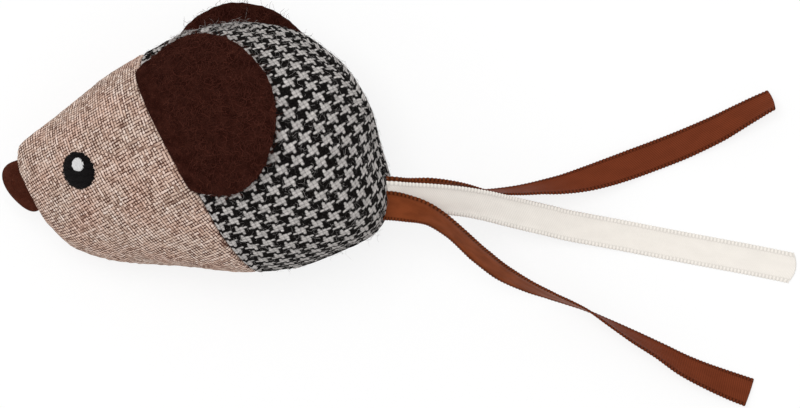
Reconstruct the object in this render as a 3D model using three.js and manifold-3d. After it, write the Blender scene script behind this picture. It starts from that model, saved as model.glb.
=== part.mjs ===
import * as THREE from 'three';
import { mergeVertices } from 'three/addons/utils/BufferGeometryUtils.js';
import Module from 'manifold-3d';

const wasm = await Module();
wasm.setup();

// Millimetres. In the toy's own frame x runs from snout to tail, y to its back and z to its left side.
const headLength = 36.4;
const bodyLength = 39.3;
const neckHalfHeight = 26.2;
const neckHalfWidth = 19;

// How the toy lies on its right side: its axis turned in plan, its snout down, its back raised.
const turn = THREE.MathUtils.degToRad(25.5);
const snoutDown = THREE.MathUtils.degToRad(13.5);
const backUp = THREE.MathUtils.degToRad(7);
const flattened = 0.5;

const coverThickness = 1;
const seamGap = 0.3;
const fit = 0.3;
const lipThickness = 0.8;
const lipShare = 0.13;

const feltThickness = 1.5;
const earRadius = 15.7;
const earCentre = 9.4;
const earAngle = THREE.MathUtils.degToRad(58);
const earSeat = 0.4;
const earRise = 1;
const earFlare = 2.2;
const earRootDepth = 2.8;
const earRootThickness = 1.2;
const farEarRadius = 16.3;
const farEarOffset = new THREE.Vector2(8.8, 17.9);
const farEarHinge = 1.5;
const farEarOverlap = 0.5;
const farEarTurn = THREE.MathUtils.degToRad(-3.3);

const noseLength = 4.2;
const noseTop = 17.6;
const noseBottom = 5.4;
const noseRootDepth = 3;
const noseRootThickness = 1.2;
const noseStandoff = 0.8;

const eyeX = -22;
const eyeY = 10.6;
const eyeHalfWidth = 3.4;
const eyeHalfHeight = 3.85;
const eyeThickness = 0.6;
const glintShift = new THREE.Vector2(0.5, 1.3);
const glintHalfWidth = 1.3;
const stitchSeat = 0.15;

const ribbonWidth = 6.5;
const ribbonThickness = 0.4;
const ribbonLayer = 0.75;
const ribbonRootDepth = 4;
const ribbonExit = 0.87;
const ribbonSteps = 56;

const sachetHalfSize = 9.5;
const sachetHalfThickness = 5;
const wadSplit = 8;

// Outlines as shares of the head or body length, and of the neck's half height or half width.
const backLine = [
  [-1, 0.69], [-0.93, 0.767], [-0.83, 0.817], [-0.44, 0.958], [0, 1],
  [0.28, 0.992], [0.534, 0.882], [0.8, 0.565], [0.954, 0.164], [1, -0.229],
];
const bellyLine = [
  [-1, 0.107], [-0.978, -0.034], [-0.896, -0.229], [-0.706, -0.458], [-0.302, -0.782], [0, -1.004],
  [0.254, -1.122], [0.552, -1.168], [0.72, -1.145], [0.84, -1.004], [0.929, -0.763], [1, -0.229],
];
const widthLine = [
  [-1, 0.116], [-0.948, 0.258], [-0.824, 0.421], [-0.55, 0.663], [-0.275, 0.853], [0, 1],
  [0.254, 1.126], [0.509, 1.19], [0.687, 1.12], [0.84, 0.884], [0.947, 0.526], [1, 0],
];

const stationCount = 26;
const aroundCount = 36;
const wadStationCount = 16;
const wadAroundCount = 24;

function outline(points, scale) {
  const scaled = points.map(([x, y]) => new THREE.Vector2(x * (x < 0 ? headLength : bodyLength), y * scale));
  const samples = new THREE.SplineCurve(scaled).getPoints(600);
  return (x) => {
    let next = samples.findIndex((sample) => sample.x >= x);
    if (next < 0) next = samples.length - 1;
    if (next === 0) return samples[0].y;
    const from = samples[next - 1];
    const to = samples[next];
    const share = THREE.MathUtils.clamp((x - from.x) / (to.x - from.x), 0, 1);
    return THREE.MathUtils.lerp(from.y, to.y, share);
  };
}

const backAt = outline(backLine, neckHalfHeight);
const bellyAt = outline(bellyLine, neckHalfHeight);
const halfWidthAt = outline(widthLine, neckHalfWidth);

// A point of the stuffed form: angle 0 is the back seam, a quarter turn is the middle of the left side.
function surfacePoint(x, angle) {
  const top = backAt(x);
  const bottom = bellyAt(x);
  const y = (top + bottom) / 2 + ((top - bottom) / 2) * Math.cos(angle);
  return new THREE.Vector3(x, y, halfWidthAt(x) * Math.sin(angle));
}

function surfaceNormal(x, angle) {
  const step = 0.05;
  const before = Math.max(x - step, -headLength);
  const after = Math.min(x + step, bodyLength - 0.001);
  const along = surfacePoint(after, angle).sub(surfacePoint(before, angle));
  const around = surfacePoint(x, angle + 0.01).sub(surfacePoint(x, angle - 0.01));
  return around.cross(along).normalize();
}

function skin(x, angle, offset) {
  return surfacePoint(x, angle).addScaledVector(surfaceNormal(x, angle), offset);
}

function indexed(points, faces) {
  const geometry = new THREE.BufferGeometry();
  const flat = points.flatMap((point) => [point.x, point.y, point.z]);
  geometry.setAttribute('position', new THREE.Float32BufferAttribute(flat, 3));
  geometry.setIndex(faces);
  return geometry;
}

function solid(geometry) {
  const bare = new THREE.BufferGeometry();
  bare.setAttribute('position', geometry.getAttribute('position'));
  if (geometry.index) bare.setIndex(geometry.index);
  const merged = mergeVertices(bare, 1e-4);
  const mesh = new wasm.Mesh({
    numProp: 3,
    vertProperties: new Float32Array(merged.getAttribute('position').array),
    triVerts: new Uint32Array(merged.index.array),
  });
  const made = new wasm.Manifold(mesh);
  if (made.volume() > 0) return made;
  const reversed = new Uint32Array(merged.index.array).reverse();
  return new wasm.Manifold(new wasm.Mesh({
    numProp: 3,
    vertProperties: new Float32Array(merged.getAttribute('position').array),
    triVerts: reversed,
  }));
}

// A closed sheet: pointAt(s, t, side) gives its two faces over s and t from 0 to 1.
function sheet(pointAt, rows, columns) {
  const points = [];
  const faces = [];
  const at = (i, j, side) => side * (rows + 1) * (columns + 1) + i * (columns + 1) + j;
  for (const side of [0, 1]) {
    for (let i = 0; i <= rows; i += 1) {
      for (let j = 0; j <= columns; j += 1) points.push(pointAt(i / rows, j / columns, side));
    }
  }
  const quad = (a, b, c, d) => faces.push(a, b, c, a, c, d);
  for (let i = 0; i < rows; i += 1) {
    for (let j = 0; j < columns; j += 1) {
      quad(at(i, j, 0), at(i + 1, j, 0), at(i + 1, j + 1, 0), at(i, j + 1, 0));
      quad(at(i, j, 1), at(i, j + 1, 1), at(i + 1, j + 1, 1), at(i + 1, j, 1));
    }
    quad(at(i, 0, 0), at(i, 0, 1), at(i + 1, 0, 1), at(i + 1, 0, 0));
    quad(at(i, columns, 0), at(i + 1, columns, 0), at(i + 1, columns, 1), at(i, columns, 1));
  }
  for (let j = 0; j < columns; j += 1) {
    quad(at(0, j, 0), at(0, j + 1, 0), at(0, j + 1, 1), at(0, j, 1));
    quad(at(rows, j, 0), at(rows, j, 1), at(rows, j + 1, 1), at(rows, j + 1, 0));
  }
  return solid(indexed(points, faces));
}

// A closed disc: pointAt(radius, angle, side) gives its two faces, with radius from 0 to 1.
function disc(pointAt, rings, spokes) {
  const points = [pointAt(0, 0, 0), pointAt(0, 0, 1)];
  const faces = [];
  const at = (ring, spoke, side) => 2 + side * rings * spokes + (ring - 1) * spokes + (spoke % spokes);
  for (const side of [0, 1]) {
    for (let ring = 1; ring <= rings; ring += 1) {
      for (let spoke = 0; spoke < spokes; spoke += 1) {
        points.push(pointAt(ring / rings, (2 * Math.PI * spoke) / spokes, side));
      }
    }
  }
  for (let spoke = 0; spoke < spokes; spoke += 1) {
    faces.push(0, at(1, spoke + 1, 0), at(1, spoke, 0));
    faces.push(1, at(1, spoke, 1), at(1, spoke + 1, 1));
    for (let ring = 1; ring < rings; ring += 1) {
      const inner = ring;
      const outer = ring + 1;
      faces.push(at(inner, spoke, 0), at(inner, spoke + 1, 0), at(outer, spoke, 0));
      faces.push(at(inner, spoke + 1, 0), at(outer, spoke + 1, 0), at(outer, spoke, 0));
      faces.push(at(inner, spoke, 1), at(outer, spoke, 1), at(inner, spoke + 1, 1));
      faces.push(at(inner, spoke + 1, 1), at(outer, spoke, 1), at(outer, spoke + 1, 1));
    }
    faces.push(at(rings, spoke, 0), at(rings, spoke + 1, 0), at(rings, spoke, 1));
    faces.push(at(rings, spoke + 1, 0), at(rings, spoke + 1, 1), at(rings, spoke, 1));
  }
  return solid(indexed(points, faces));
}

// Where a section lies for a share of the length: closer together at both ends.
function station(share) {
  const eased = THREE.MathUtils.lerp(share, (1 - Math.cos(Math.PI * share)) / 2, 0.8);
  return THREE.MathUtils.lerp(-headLength, bodyLength, eased);
}

// The whole stuffed form, drawn in from its outside by inset.
function stuffedForm(inset, stations = stationCount, around = aroundCount) {
  const points = [];
  const faces = [];
  for (let i = 0; i < stations; i += 1) {
    const x = station(i / stations);
    for (let j = 0; j < around; j += 1) points.push(skin(x, (2 * Math.PI * j) / around, -inset));
  }
  const at = (i, j) => i * around + (j % around);
  const front = points.length;
  const first = points.slice(0, around);
  points.push(first.reduce((sum, point) => sum.add(point), new THREE.Vector3()).divideScalar(around));
  const rear = points.length;
  points.push(new THREE.Vector3(bodyLength - inset, backAt(bodyLength), 0));
  for (let j = 0; j < around; j += 1) {
    faces.push(front, at(0, j), at(0, j + 1));
    faces.push(rear, at(stations - 1, j + 1), at(stations - 1, j));
    for (let i = 0; i + 1 < stations; i += 1) {
      faces.push(at(i, j), at(i + 1, j), at(i, j + 1));
      faces.push(at(i, j + 1), at(i + 1, j), at(i + 1, j + 1));
    }
  }
  return solid(indexed(points, faces));
}

function block(minimum, maximum) {
  const size = new THREE.Vector3().subVectors(maximum, minimum);
  const geometry = new THREE.BoxGeometry(size.x, size.y, size.z);
  geometry.translate(minimum.x + size.x / 2, minimum.y + size.y / 2, minimum.z + size.z / 2);
  return solid(geometry);
}

function cut(target, ...tools) {
  return tools.reduce((rest, tool) => rest.subtract(tool), target);
}

// A flat ring between a closed clockwise line and the same line drawn in towards its middle.
function ring(line, inner, thickness) {
  const middle = line.reduce((sum, point) => sum.add(point), new THREE.Vector2()).divideScalar(line.length);
  const shape = new THREE.Shape([...line].reverse());
  shape.holes.push(new THREE.Path(line.map((point) => point.clone().sub(middle).multiplyScalar(inner).add(middle))));
  const geometry = new THREE.ExtrudeGeometry(shape, { depth: thickness, bevelEnabled: false });
  return geometry.translate(0, 0, -thickness / 2);
}

function sideLine() {
  const line = [];
  const steps = 36;
  for (let i = 0; i <= steps; i += 1) line.push(new THREE.Vector2(station(i / steps), backAt(station(i / steps))));
  for (let i = steps - 1; i >= 0; i -= 1) line.push(new THREE.Vector2(station(i / steps), bellyAt(station(i / steps))));
  return line;
}

function neckLine() {
  const line = [];
  for (let j = 0; j < aroundCount; j += 1) {
    const point = surfacePoint(0, (2 * Math.PI * j) / aroundCount);
    line.push(new THREE.Vector2(point.z, point.y));
  }
  return line;
}

// Both sewn seams as lips turned in from the cover, this thick and this far in.
function seamLips(thickness, share) {
  const side = solid(ring(sideLine(), 1 - share, thickness));
  const neck = solid(ring(neckLine(), 1 - share * 1.25, thickness).rotateY(Math.PI / 2));
  return side.add(neck);
}

// Placing the toy: it is turned first, then set down so that it sinks in by the flattened depth.
const toy = new THREE.Group();
toy.name = 'toy';
toy.rotation.set(backUp, -snoutDown, turn, 'ZYX');
toy.updateMatrixWorld(true);
const outerForm = stuffedForm(0);

function lowestPoint(target) {
  const { vertProperties } = target.getMesh();
  let lowest = Infinity;
  for (let i = 0; i < vertProperties.length; i += 3) {
    const corner = new THREE.Vector3(vertProperties[i], vertProperties[i + 1], vertProperties[i + 2]);
    lowest = Math.min(lowest, toy.localToWorld(corner).z);
  }
  return lowest;
}

toy.position.z = -lowestPoint(outerForm) - flattened;
toy.updateMatrixWorld(true);
const toToy = toy.matrixWorld.clone().invert();

// A solid given in the floor's frame, moved into the toy's frame.
function floorSolid(geometry) {
  return solid(geometry.applyMatrix4(toToy));
}

const wide = 200;
const floor = floorSolid(new THREE.BoxGeometry(wide, wide, wide).translate(0, 0, -wide / 2));

// Half of the floor's frame: what lies beyond a line through origin that is turned by this angle.
function halfPlane(origin, angle, gap) {
  const half = new THREE.BoxGeometry(wide, wide, wide).translate(0, wide / 2 + gap, 0);
  return solid(half.rotateZ(angle).translate(origin.x, origin.y, 0));
}

// The far ear's outline on the floor, from the neck seam back, grown by clearance.
function farEarDisc(bottom, top, clearance) {
  const radius = farEarRadius + clearance;
  const round = new THREE.CylinderGeometry(radius, radius, top - bottom, 56).rotateX(Math.PI / 2);
  round.translate(farEarOffset.x, farEarOffset.y, (bottom + top) / 2);
  const seamSide = toy.localToWorld(skin(0, -earAngle, 0));
  return solid(round).intersect(halfPlane(seamSide, turn - Math.PI / 2, -farEarOverlap - clearance));
}

// Room for the far ear, which lies flat on the floor and presses into the cover from below.
function farEarRoom(clearance) {
  return farEarDisc(-wide / 2, feltThickness + clearance, clearance).transform(toToy.elements);
}

// The strip of an ear that the neck seam holds, on the left side (1) or the right side (-1).
function earStrip(side, from, to, halfThickness, depth, proud) {
  return sheet((s, t, face) => {
    const angle = THREE.MathUtils.lerp(from, to, s) * side;
    const offset = THREE.MathUtils.lerp(-depth, proud, t);
    const point = skin(0, angle, offset);
    point.x = face ? halfThickness : -halfThickness;
    return point;
  }, 12, 2);
}

const leftFrom = earAngle - 0.55;
const leftTo = earAngle + 0.55;
const rightFrom = earAngle - 0.3;
const rightTo = earAngle + 0.28;
const earSlotHalf = lipThickness + seamGap;

const noseMiddle = (noseTop + noseBottom) / 2;
const exitX = ribbonExit * bodyLength;
const exitPoint = new THREE.Vector3(exitX, bellyAt(exitX), 0);
const exitOut = new THREE.Vector3(Math.cos(turn), -Math.sin(turn), 0);
const exitUp = new THREE.Vector3(Math.sin(turn), Math.cos(turn), 0);

const noseSlot = block(
  new THREE.Vector3(-headLength - 2, noseBottom - 0.2, -earSlotHalf),
  new THREE.Vector3(-headLength + noseRootDepth + 0.6, noseTop + 0.2, earSlotHalf),
);
const ribbonSlotGeometry = new THREE.BoxGeometry(ribbonRootDepth * 2 + 4, ribbonWidth + 4, 2.7);
ribbonSlotGeometry.rotateZ(-turn).translate(exitPoint.x, exitPoint.y, 0);
const ribbonSlot = solid(ribbonSlotGeometry);

const lips = seamLips(2 * lipThickness + seamGap, lipShare).intersect(stuffedForm(coverThickness / 2));
const shell = cut(outerForm, farEarRoom(fit), floor)
  .subtract(cut(stuffedForm(coverThickness), farEarRoom(fit + coverThickness)));
const cover = cut(
  shell.add(cut(lips, farEarRoom(fit), floor)),
  earStrip(1, leftFrom - 0.03, leftTo + 0.03, earSlotHalf, earRootDepth + 0.6, 3),
  earStrip(-1, rightFrom - 0.03, rightTo + 0.03, earSlotHalf, earRootDepth + 0.6, 3),
  noseSlot,
  ribbonSlot,
);

// The quarter of space that one panel has: head or body, left or right.
function quarter(isHead, isLeft) {
  const half = seamGap / 2;
  const minimum = new THREE.Vector3(isHead ? -wide : half, -wide, isLeft ? half : -wide);
  const maximum = new THREE.Vector3(isHead ? -half : wide, wide, isLeft ? wide : -half);
  return block(minimum, maximum);
}

function panel(isHead, isLeft) {
  const pieces = cover.intersect(quarter(isHead, isLeft)).decompose();
  return pieces.reduce((largest, piece) => (piece.volume() > largest.volume() ? piece : largest));
}

// Stuffing and sachet.
const wadRoom = cut(
  stuffedForm(coverThickness + fit, wadStationCount, wadAroundCount),
  farEarRoom(fit * 2 + coverThickness),
  seamLips(2 * lipThickness + seamGap + 2 * fit, lipShare + 0.02),
);

function pillow(grow) {
  return disc((radius, angle, face) => {
    const squared = (Math.cos(angle) ** 4 + Math.sin(angle) ** 4) ** -0.25;
    const reach = (sachetHalfSize + grow) * squared * radius;
    const height = (sachetHalfThickness + grow) * Math.sqrt(1 - radius ** 2 * 0.96);
    return new THREE.Vector3(wadSplit + reach * Math.cos(angle), reach * Math.sin(angle), face ? height : -height);
  }, 4, 20);
}

const ahead = block(new THREE.Vector3(-wide, -wide, -wide), new THREE.Vector3(wadSplit - fit / 2, wide, wide));
const behind = block(new THREE.Vector3(wadSplit + fit / 2, -wide, -wide), new THREE.Vector3(wide, wide, wide));

function wad(side) {
  const pieces = wadRoom.intersect(side).subtract(pillow(fit)).decompose();
  return pieces.reduce((largest, piece) => (piece.volume() > largest.volume() ? piece : largest));
}

// The near ear's flap: a disc cut short by the seam, standing off the body more towards its rim.
function earReach(angle) {
  const toSeam = Math.cos(angle) < -0.001 ? earCentre / -Math.cos(angle) : Infinity;
  const sharpness = 9;
  return (earRadius ** -sharpness + toSeam ** -sharpness) ** (-1 / sharpness);
}

const earSpread = (neckHalfHeight + neckHalfWidth) / 2;

function earFlap() {
  const flap = disc((radius, angle, face) => {
    const reach = earReach(angle) * radius;
    const along = earCentre + reach * Math.cos(angle);
    const across = reach * Math.sin(angle);
    const share = along / (earCentre + earRadius);
    const standOff = earSeat + earRise * share + earFlare * share * (across / earRadius) ** 2;
    const offset = standOff + (face ? feltThickness : 0);
    return skin(along - earRootThickness / 2, earAngle - across / earSpread, offset);
  }, 5, 40);
  return flap.subtract(stuffedForm(-fit));
}

// The far ear lies flat on the floor. The toy pins its seam side, and its outer lobe is free.
const farDisc = farEarDisc(0, feltThickness, 0);
const hingeNormal = new THREE.Vector2(-Math.sin(farEarTurn), Math.cos(farEarTurn));
const hingeOrigin = farEarOffset.clone().addScaledVector(hingeNormal, farEarHinge);
const farLobe = farDisc.intersect(halfPlane(hingeOrigin, farEarTurn, fit / 2));
const farPinned = farDisc.intersect(halfPlane(hingeOrigin, farEarTurn + Math.PI, fit / 2));

// From the seam the felt drops to the floor and joins the pinned half.
const farStrip = sheet((s, t, face) => {
  const angle = -THREE.MathUtils.lerp(rightFrom, rightTo, s);
  const x = face ? earRootThickness / 2 : -earRootThickness / 2;
  const inner = toy.localToWorld(skin(0, angle, -earRootDepth).setX(x));
  const edge = toy.localToWorld(skin(0, angle, 0.1).setX(x));
  const foot = edge.clone().setZ(Math.min(edge.z - 0.2, feltThickness / 2));
  return [inner, edge, foot][Math.round(t * 2)];
}, 12, 2);
const farRoot = farPinned.add(farStrip);

// Nose: a felt tongue in the middle plane, its free edge fuller towards the top.
function noseTongue() {
  const x = -headLength - noseStandoff;
  const height = noseTop - noseBottom;
  const shape = new THREE.Shape();
  shape.moveTo(x, noseTop);
  shape.bezierCurveTo(
    x - noseLength * 1.15, noseTop + 0.4,
    x - noseLength * 1.25, noseMiddle + height * 0.13,
    x - noseLength * 0.6, noseBottom + height * 0.2,
  );
  shape.quadraticCurveTo(x - noseLength * 0.35, noseBottom, x, noseBottom);
  const geometry = new THREE.ExtrudeGeometry(shape, { depth: feltThickness, bevelEnabled: false, curveSegments: 12 });
  return solid(geometry.translate(0, 0, -feltThickness / 2));
}

const noseRoot = block(
  new THREE.Vector3(-headLength - noseStandoff + 0.4, noseBottom + 0.2, -noseRootThickness / 2),
  new THREE.Vector3(-headLength + noseRootDepth, noseTop - 0.2, noseRootThickness / 2),
);

// A stitched spot on the head: base is how far its underside stands off the linen.
function spot(side, x, y, halfWidth, halfHeight, base, thickness) {
  return disc((radius, angle, face) => {
    const px = x + halfWidth * radius * Math.cos(angle);
    const py = y + halfHeight * radius * Math.sin(angle);
    const top = backAt(px);
    const bottom = bellyAt(px);
    const around = Math.acos(THREE.MathUtils.clamp((2 * py - top - bottom) / (top - bottom), -1, 1));
    const dome = thickness * (1 - 0.45 * radius ** 2);
    return skin(px, around * side, base + (face ? dome : 0));
  }, 2, 24);
}

// Tail ribbons. Each row: steps right and up from the exit, height as a share of the exit's, and roll in degrees.
const ribbons = {
  upper: {
    colour: 'brown', layer: -1, across: 1.2, hingeAt: 6, roll: 12,
    route: [
      [3.2, 0.9, 0.93, 16], [7.7, 1.5, 0.87, 28], [12, 1.9, 0.78, 48], [16.3, 2, 0.675, 67], [21.3, 1.7, 0.56, 90],
      [26.6, 1.7, 0.435, 108], [31.7, 2.5, 0.335, 126], [36.9, 3.2, 0.245, 143], [42, 4.3, 0.17, 156],
      [47.2, 5.7, 0.112, 168], [52.3, 7.4, 0.068, 175], [57.4, 9.3, 0.042, 177], [61.5, 10.9, 0.036, 175],
      [65.2, 12.5, 0.046, 167], [70.3, 14.9, 0.066, 158], [75.4, 17.7, 0.098, 145], [79.5, 19.9, 0.118, 136],
      [81.7, 21, 0.128, 132],
    ],
  },
  cream: {
    colour: 'cream', layer: 0, across: 0.2, hingeAt: 4.75, roll: 12,
    route: [
      [3.4, -0.1, 0.965, 9], [7.7, -0.4, 0.915, 5], [12, -0.9, 0.83, 2], [16.3, -1.6, 0.72, 0], [20.6, -2.4, 0.595, 0],
      [24.9, -3.25, 0.465, 0], [29.1, -4.1, 0.345, 0], [33.4, -5.05, 0.245, 0], [37.7, -6, 0.165, 0],
      [42, -6.9, 0.105, 0], [46.3, -7.75, 0.062, 0], [50.6, -8.6, 0.034, 0], [54.9, -9.5, 0.02, 0],
      [62, -10.9, 0.0155, 0], [70, -12.4, 0.0155, 0], [78, -13.9, 0.0155, 0], [85.9, -15.5, 0.0155, 0],
    ],
  },
  lower: {
    colour: 'brown', layer: 1, across: -1.7, hingeAt: 1.8, roll: 10,
    route: [
      [3.4, -2.1, 1.03, 14], [6.5, -2.9, 1.015, 26], [9.3, -4.2, 0.975, 39], [13.7, -7.7, 0.865, 51],
      [18.9, -12.4, 0.69, 51], [24, -16.3, 0.525, 56], [29.2, -19.1, 0.395, 67], [34.3, -21.2, 0.285, 77],
      [38.2, -22.7, 0.22, 82], [42, -24.3, 0.18, 88], [47.2, -27.2, 0.162, 101], [52.3, -30.1, 0.15, 113],
      [57.4, -32.9, 0.138, 121], [62.6, -36, 0.118, 135], [67.7, -38.4, 0.096, 146], [72.9, -40.5, 0.062, 160],
      [77, -42, 0.042, 169],
    ],
  },
};

function ribbonPath({ layer, across, hingeAt, roll, route }) {
  const seat = exitPoint.clone().addScaledVector(exitUp, across).setZ(layer * ribbonLayer);
  const inside = toy.localToWorld(seat.clone().addScaledVector(exitOut, -ribbonRootDepth));
  const start = toy.localToWorld(seat.clone());
  const exit = toy.localToWorld(exitPoint.clone());
  const points = route.map(([right, up, high]) => new THREE.Vector3(exit.x + right, exit.y + up, exit.z * high));
  const rolls = [roll, roll, ...route.map((row) => row[3])];
  const curve = new THREE.CatmullRomCurve3([inside, start, ...points], false, 'centripetal');
  return { curve, rolls, hinge: hingeAt / (rolls.length - 1) };
}

function ribbonFrame({ curve, rolls }, t) {
  const centre = curve.getPoint(t);
  const tangent = curve.getTangent(t);
  const place = t * (rolls.length - 1);
  const from = Math.min(Math.floor(place), rolls.length - 2);
  const roll = THREE.MathUtils.degToRad(THREE.MathUtils.lerp(rolls[from], rolls[from + 1], place - from));
  const level = new THREE.Vector3(0, 0, 1).cross(tangent).normalize();
  const side = level.applyAxisAngle(tangent, roll);
  return { centre, tangent, side, normal: tangent.clone().cross(side) };
}

function ribbonSolid(path, from, to, steps) {
  return sheet((s, t, face) => {
    const { centre, side, normal } = ribbonFrame(path, THREE.MathUtils.lerp(from, to, s));
    const lift = (face ? 0.5 : -0.5) * ribbonThickness;
    return centre.addScaledVector(side, (t - 0.5) * ribbonWidth).addScaledVector(normal, lift);
  }, steps, 1);
}

function material(color, roughness, metalness = 0) {
  return new THREE.MeshStandardMaterial({ color, roughness, metalness });
}

const linen = material('#a69083', 0.95);
const wool = material('#5a5552', 0.95);
const felt = material('#341812', 0.98);
const noseFelt = material('#512f26', 0.98);
const blackThread = material('#1c1717', 0.6);
const whiteThread = material('#e6e3e3', 0.6);
const fibre = material('#efece4', 1);
const muslin = material('#c8bb94', 0.95);
const satin = { brown: material('#74402a', 0.42), cream: material('#eee6dd', 0.45) };

function meshOf(name, body, look) {
  const made = body.getMesh();
  const geometry = new THREE.BufferGeometry();
  geometry.setAttribute('position', new THREE.Float32BufferAttribute(made.vertProperties, made.numProp));
  geometry.setIndex([...made.triVerts]);
  geometry.computeVertexNormals();
  const mesh = new THREE.Mesh(geometry, look);
  mesh.name = name;
  return mesh;
}

const part = new THREE.Group();
part.name = 'catnip_mouse';
const lying = new THREE.Group();
lying.name = 'lying';
part.add(lying);
lying.add(toy);

toy.add(meshOf('head_panel_left', panel(true, true), linen));
toy.add(meshOf('head_panel_right', panel(true, false), linen));
toy.add(meshOf('body_panel_left', panel(false, true), wool));
toy.add(meshOf('body_panel_right', panel(false, false), wool));
toy.add(meshOf('stuffing_front', wad(ahead), fibre));
toy.add(meshOf('stuffing_rear', wad(behind), fibre));
toy.add(meshOf('catnip_sachet', pillow(0), muslin));
toy.add(meshOf('ear_left_root', earStrip(1, leftFrom, leftTo, earRootThickness / 2, earRootDepth, 0.1), felt));
toy.add(meshOf('ear_left', earFlap(), felt));
toy.add(meshOf('nose_root', noseRoot, noseFelt));
toy.add(meshOf('nose_tab', noseTongue(), noseFelt));
for (const [name, side] of [['left', 1], ['right', -1]]) {
  const eye = spot(side, eyeX, eyeY, eyeHalfWidth, eyeHalfHeight, stitchSeat, eyeThickness);
  const glintX = eyeX + glintShift.x;
  const glintY = eyeY + glintShift.y;
  const glintBase = stitchSeat * 2 + eyeThickness;
  const glint = spot(side, glintX, glintY, glintHalfWidth, glintHalfWidth, glintBase, eyeThickness / 2);
  toy.add(meshOf(`eye_${name}`, eye, blackThread));
  toy.add(meshOf(`eye_${name}_glint`, glint, whiteThread));
}
lying.add(meshOf('ear_right_root', farRoot, felt));
lying.add(meshOf('ear_right', farLobe, felt));

// The origin is under the middle of the toy, leaving the ribbons out.
part.updateMatrixWorld(true);
const box = new THREE.Box3().setFromObject(lying, true);
const middle = box.getCenter(new THREE.Vector3());

for (const [name, ribbon] of Object.entries(ribbons)) {
  const path = ribbonPath(ribbon);
  const gap = fit / path.curve.getLength();
  const rootSteps = Math.max(8, Math.round(path.hinge * ribbonSteps));
  const root = ribbonSolid(path, 0, path.hinge - gap / 2, rootSteps);
  const tip = ribbonSolid(path, path.hinge + gap / 2, 1, ribbonSteps - rootSteps);
  lying.add(meshOf(`ribbon_${name}_root`, root, satin[ribbon.colour]));
  lying.add(meshOf(`ribbon_${name}_tip`, tip, satin[ribbon.colour]));
}
lying.position.set(-middle.x, -middle.y, -box.min.z);

export default part;
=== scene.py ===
import math

import bmesh
import bpy
import numpy as np
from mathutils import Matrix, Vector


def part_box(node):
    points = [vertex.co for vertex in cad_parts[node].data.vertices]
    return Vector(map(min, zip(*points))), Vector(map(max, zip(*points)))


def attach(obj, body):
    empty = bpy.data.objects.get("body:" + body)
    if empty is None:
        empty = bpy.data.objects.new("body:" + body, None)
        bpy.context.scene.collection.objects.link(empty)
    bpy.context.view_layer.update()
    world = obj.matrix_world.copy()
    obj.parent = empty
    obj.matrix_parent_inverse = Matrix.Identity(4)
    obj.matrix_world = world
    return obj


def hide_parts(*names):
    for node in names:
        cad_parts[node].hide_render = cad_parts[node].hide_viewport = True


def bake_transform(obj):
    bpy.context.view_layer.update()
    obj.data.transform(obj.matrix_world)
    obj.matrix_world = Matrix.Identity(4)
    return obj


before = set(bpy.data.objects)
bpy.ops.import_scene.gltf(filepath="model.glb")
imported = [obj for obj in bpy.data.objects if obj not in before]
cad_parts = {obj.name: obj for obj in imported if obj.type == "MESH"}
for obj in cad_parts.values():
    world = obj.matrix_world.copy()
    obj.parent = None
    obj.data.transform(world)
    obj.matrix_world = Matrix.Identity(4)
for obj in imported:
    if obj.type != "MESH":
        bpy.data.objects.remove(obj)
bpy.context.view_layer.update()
mm = 0.001
scene = bpy.context.scene
scene.view_settings.view_transform = "Standard"
draw = np.random.default_rng(11)

# camera, light and floor

studio = {
    "lens": 600, "sensor": 36, "viewWidth": 171.4 * mm, "sharpScaleHeight": 8 * mm,
    "middle": (43.82 * mm, -14.36 * mm),
    "keyPower": 4.1, "keySize": 0.5, "keyFrom": (-0.14, 0.18, 0.95), "skyStrength": 0.68,
    "floorSize": 6, "floorShade": (1, 1, 1, 1), "shadowShare": 0.2,
}


def addObject(name, data):
    made = bpy.data.objects.new(name, data)
    scene.collection.objects.link(made)
    return made


def makeCamera():
    data = bpy.data.cameras.new("camera")
    data.lens, data.sensor_width = studio["lens"], studio["sensor"]
    data.clip_end = 30
    made = addObject("camera", data)
    distance = studio["viewWidth"] * studio["lens"] / studio["sensor"]
    made.location = (*studio["middle"], studio["sharpScaleHeight"] + distance)
    scene.camera = made


def seenDirectly(nodes, links):  # 1 for rays that show the background
    path = nodes.new("ShaderNodeLightPath")
    total = path.outputs["Is Camera Ray"]
    for name in ("Is Glossy Ray", "Is Transmission Ray"):
        most = nodes.new("ShaderNodeMath")
        most.operation = "MAXIMUM"
        links.new(total, most.inputs[0])
        links.new(path.outputs[name], most.inputs[1])
        total = most.outputs[0]
    return total


def makeLight():
    data = bpy.data.lights.new("key", "AREA")
    data.energy, data.size = studio["keyPower"], studio["keySize"]
    made = addObject("key", data)
    made.location = studio["keyFrom"]
    made.rotation_euler = (-made.location).to_track_quat("-Z", "Y").to_euler()
    world = bpy.data.worlds.new("sky")
    world.use_nodes = True
    scene.world = world
    nodes, links = world.node_tree.nodes, world.node_tree.links
    level = nodes.new("ShaderNodeMapRange")
    level.inputs["To Min"].default_value = studio["skyStrength"]
    level.inputs["To Max"].default_value = 1
    links.new(seenDirectly(nodes, links), level.inputs["Value"])
    sky = nodes["Background"]
    sky.inputs["Color"].default_value = (1, 1, 1, 1)
    links.new(level.outputs[0], sky.inputs["Strength"])


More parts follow.
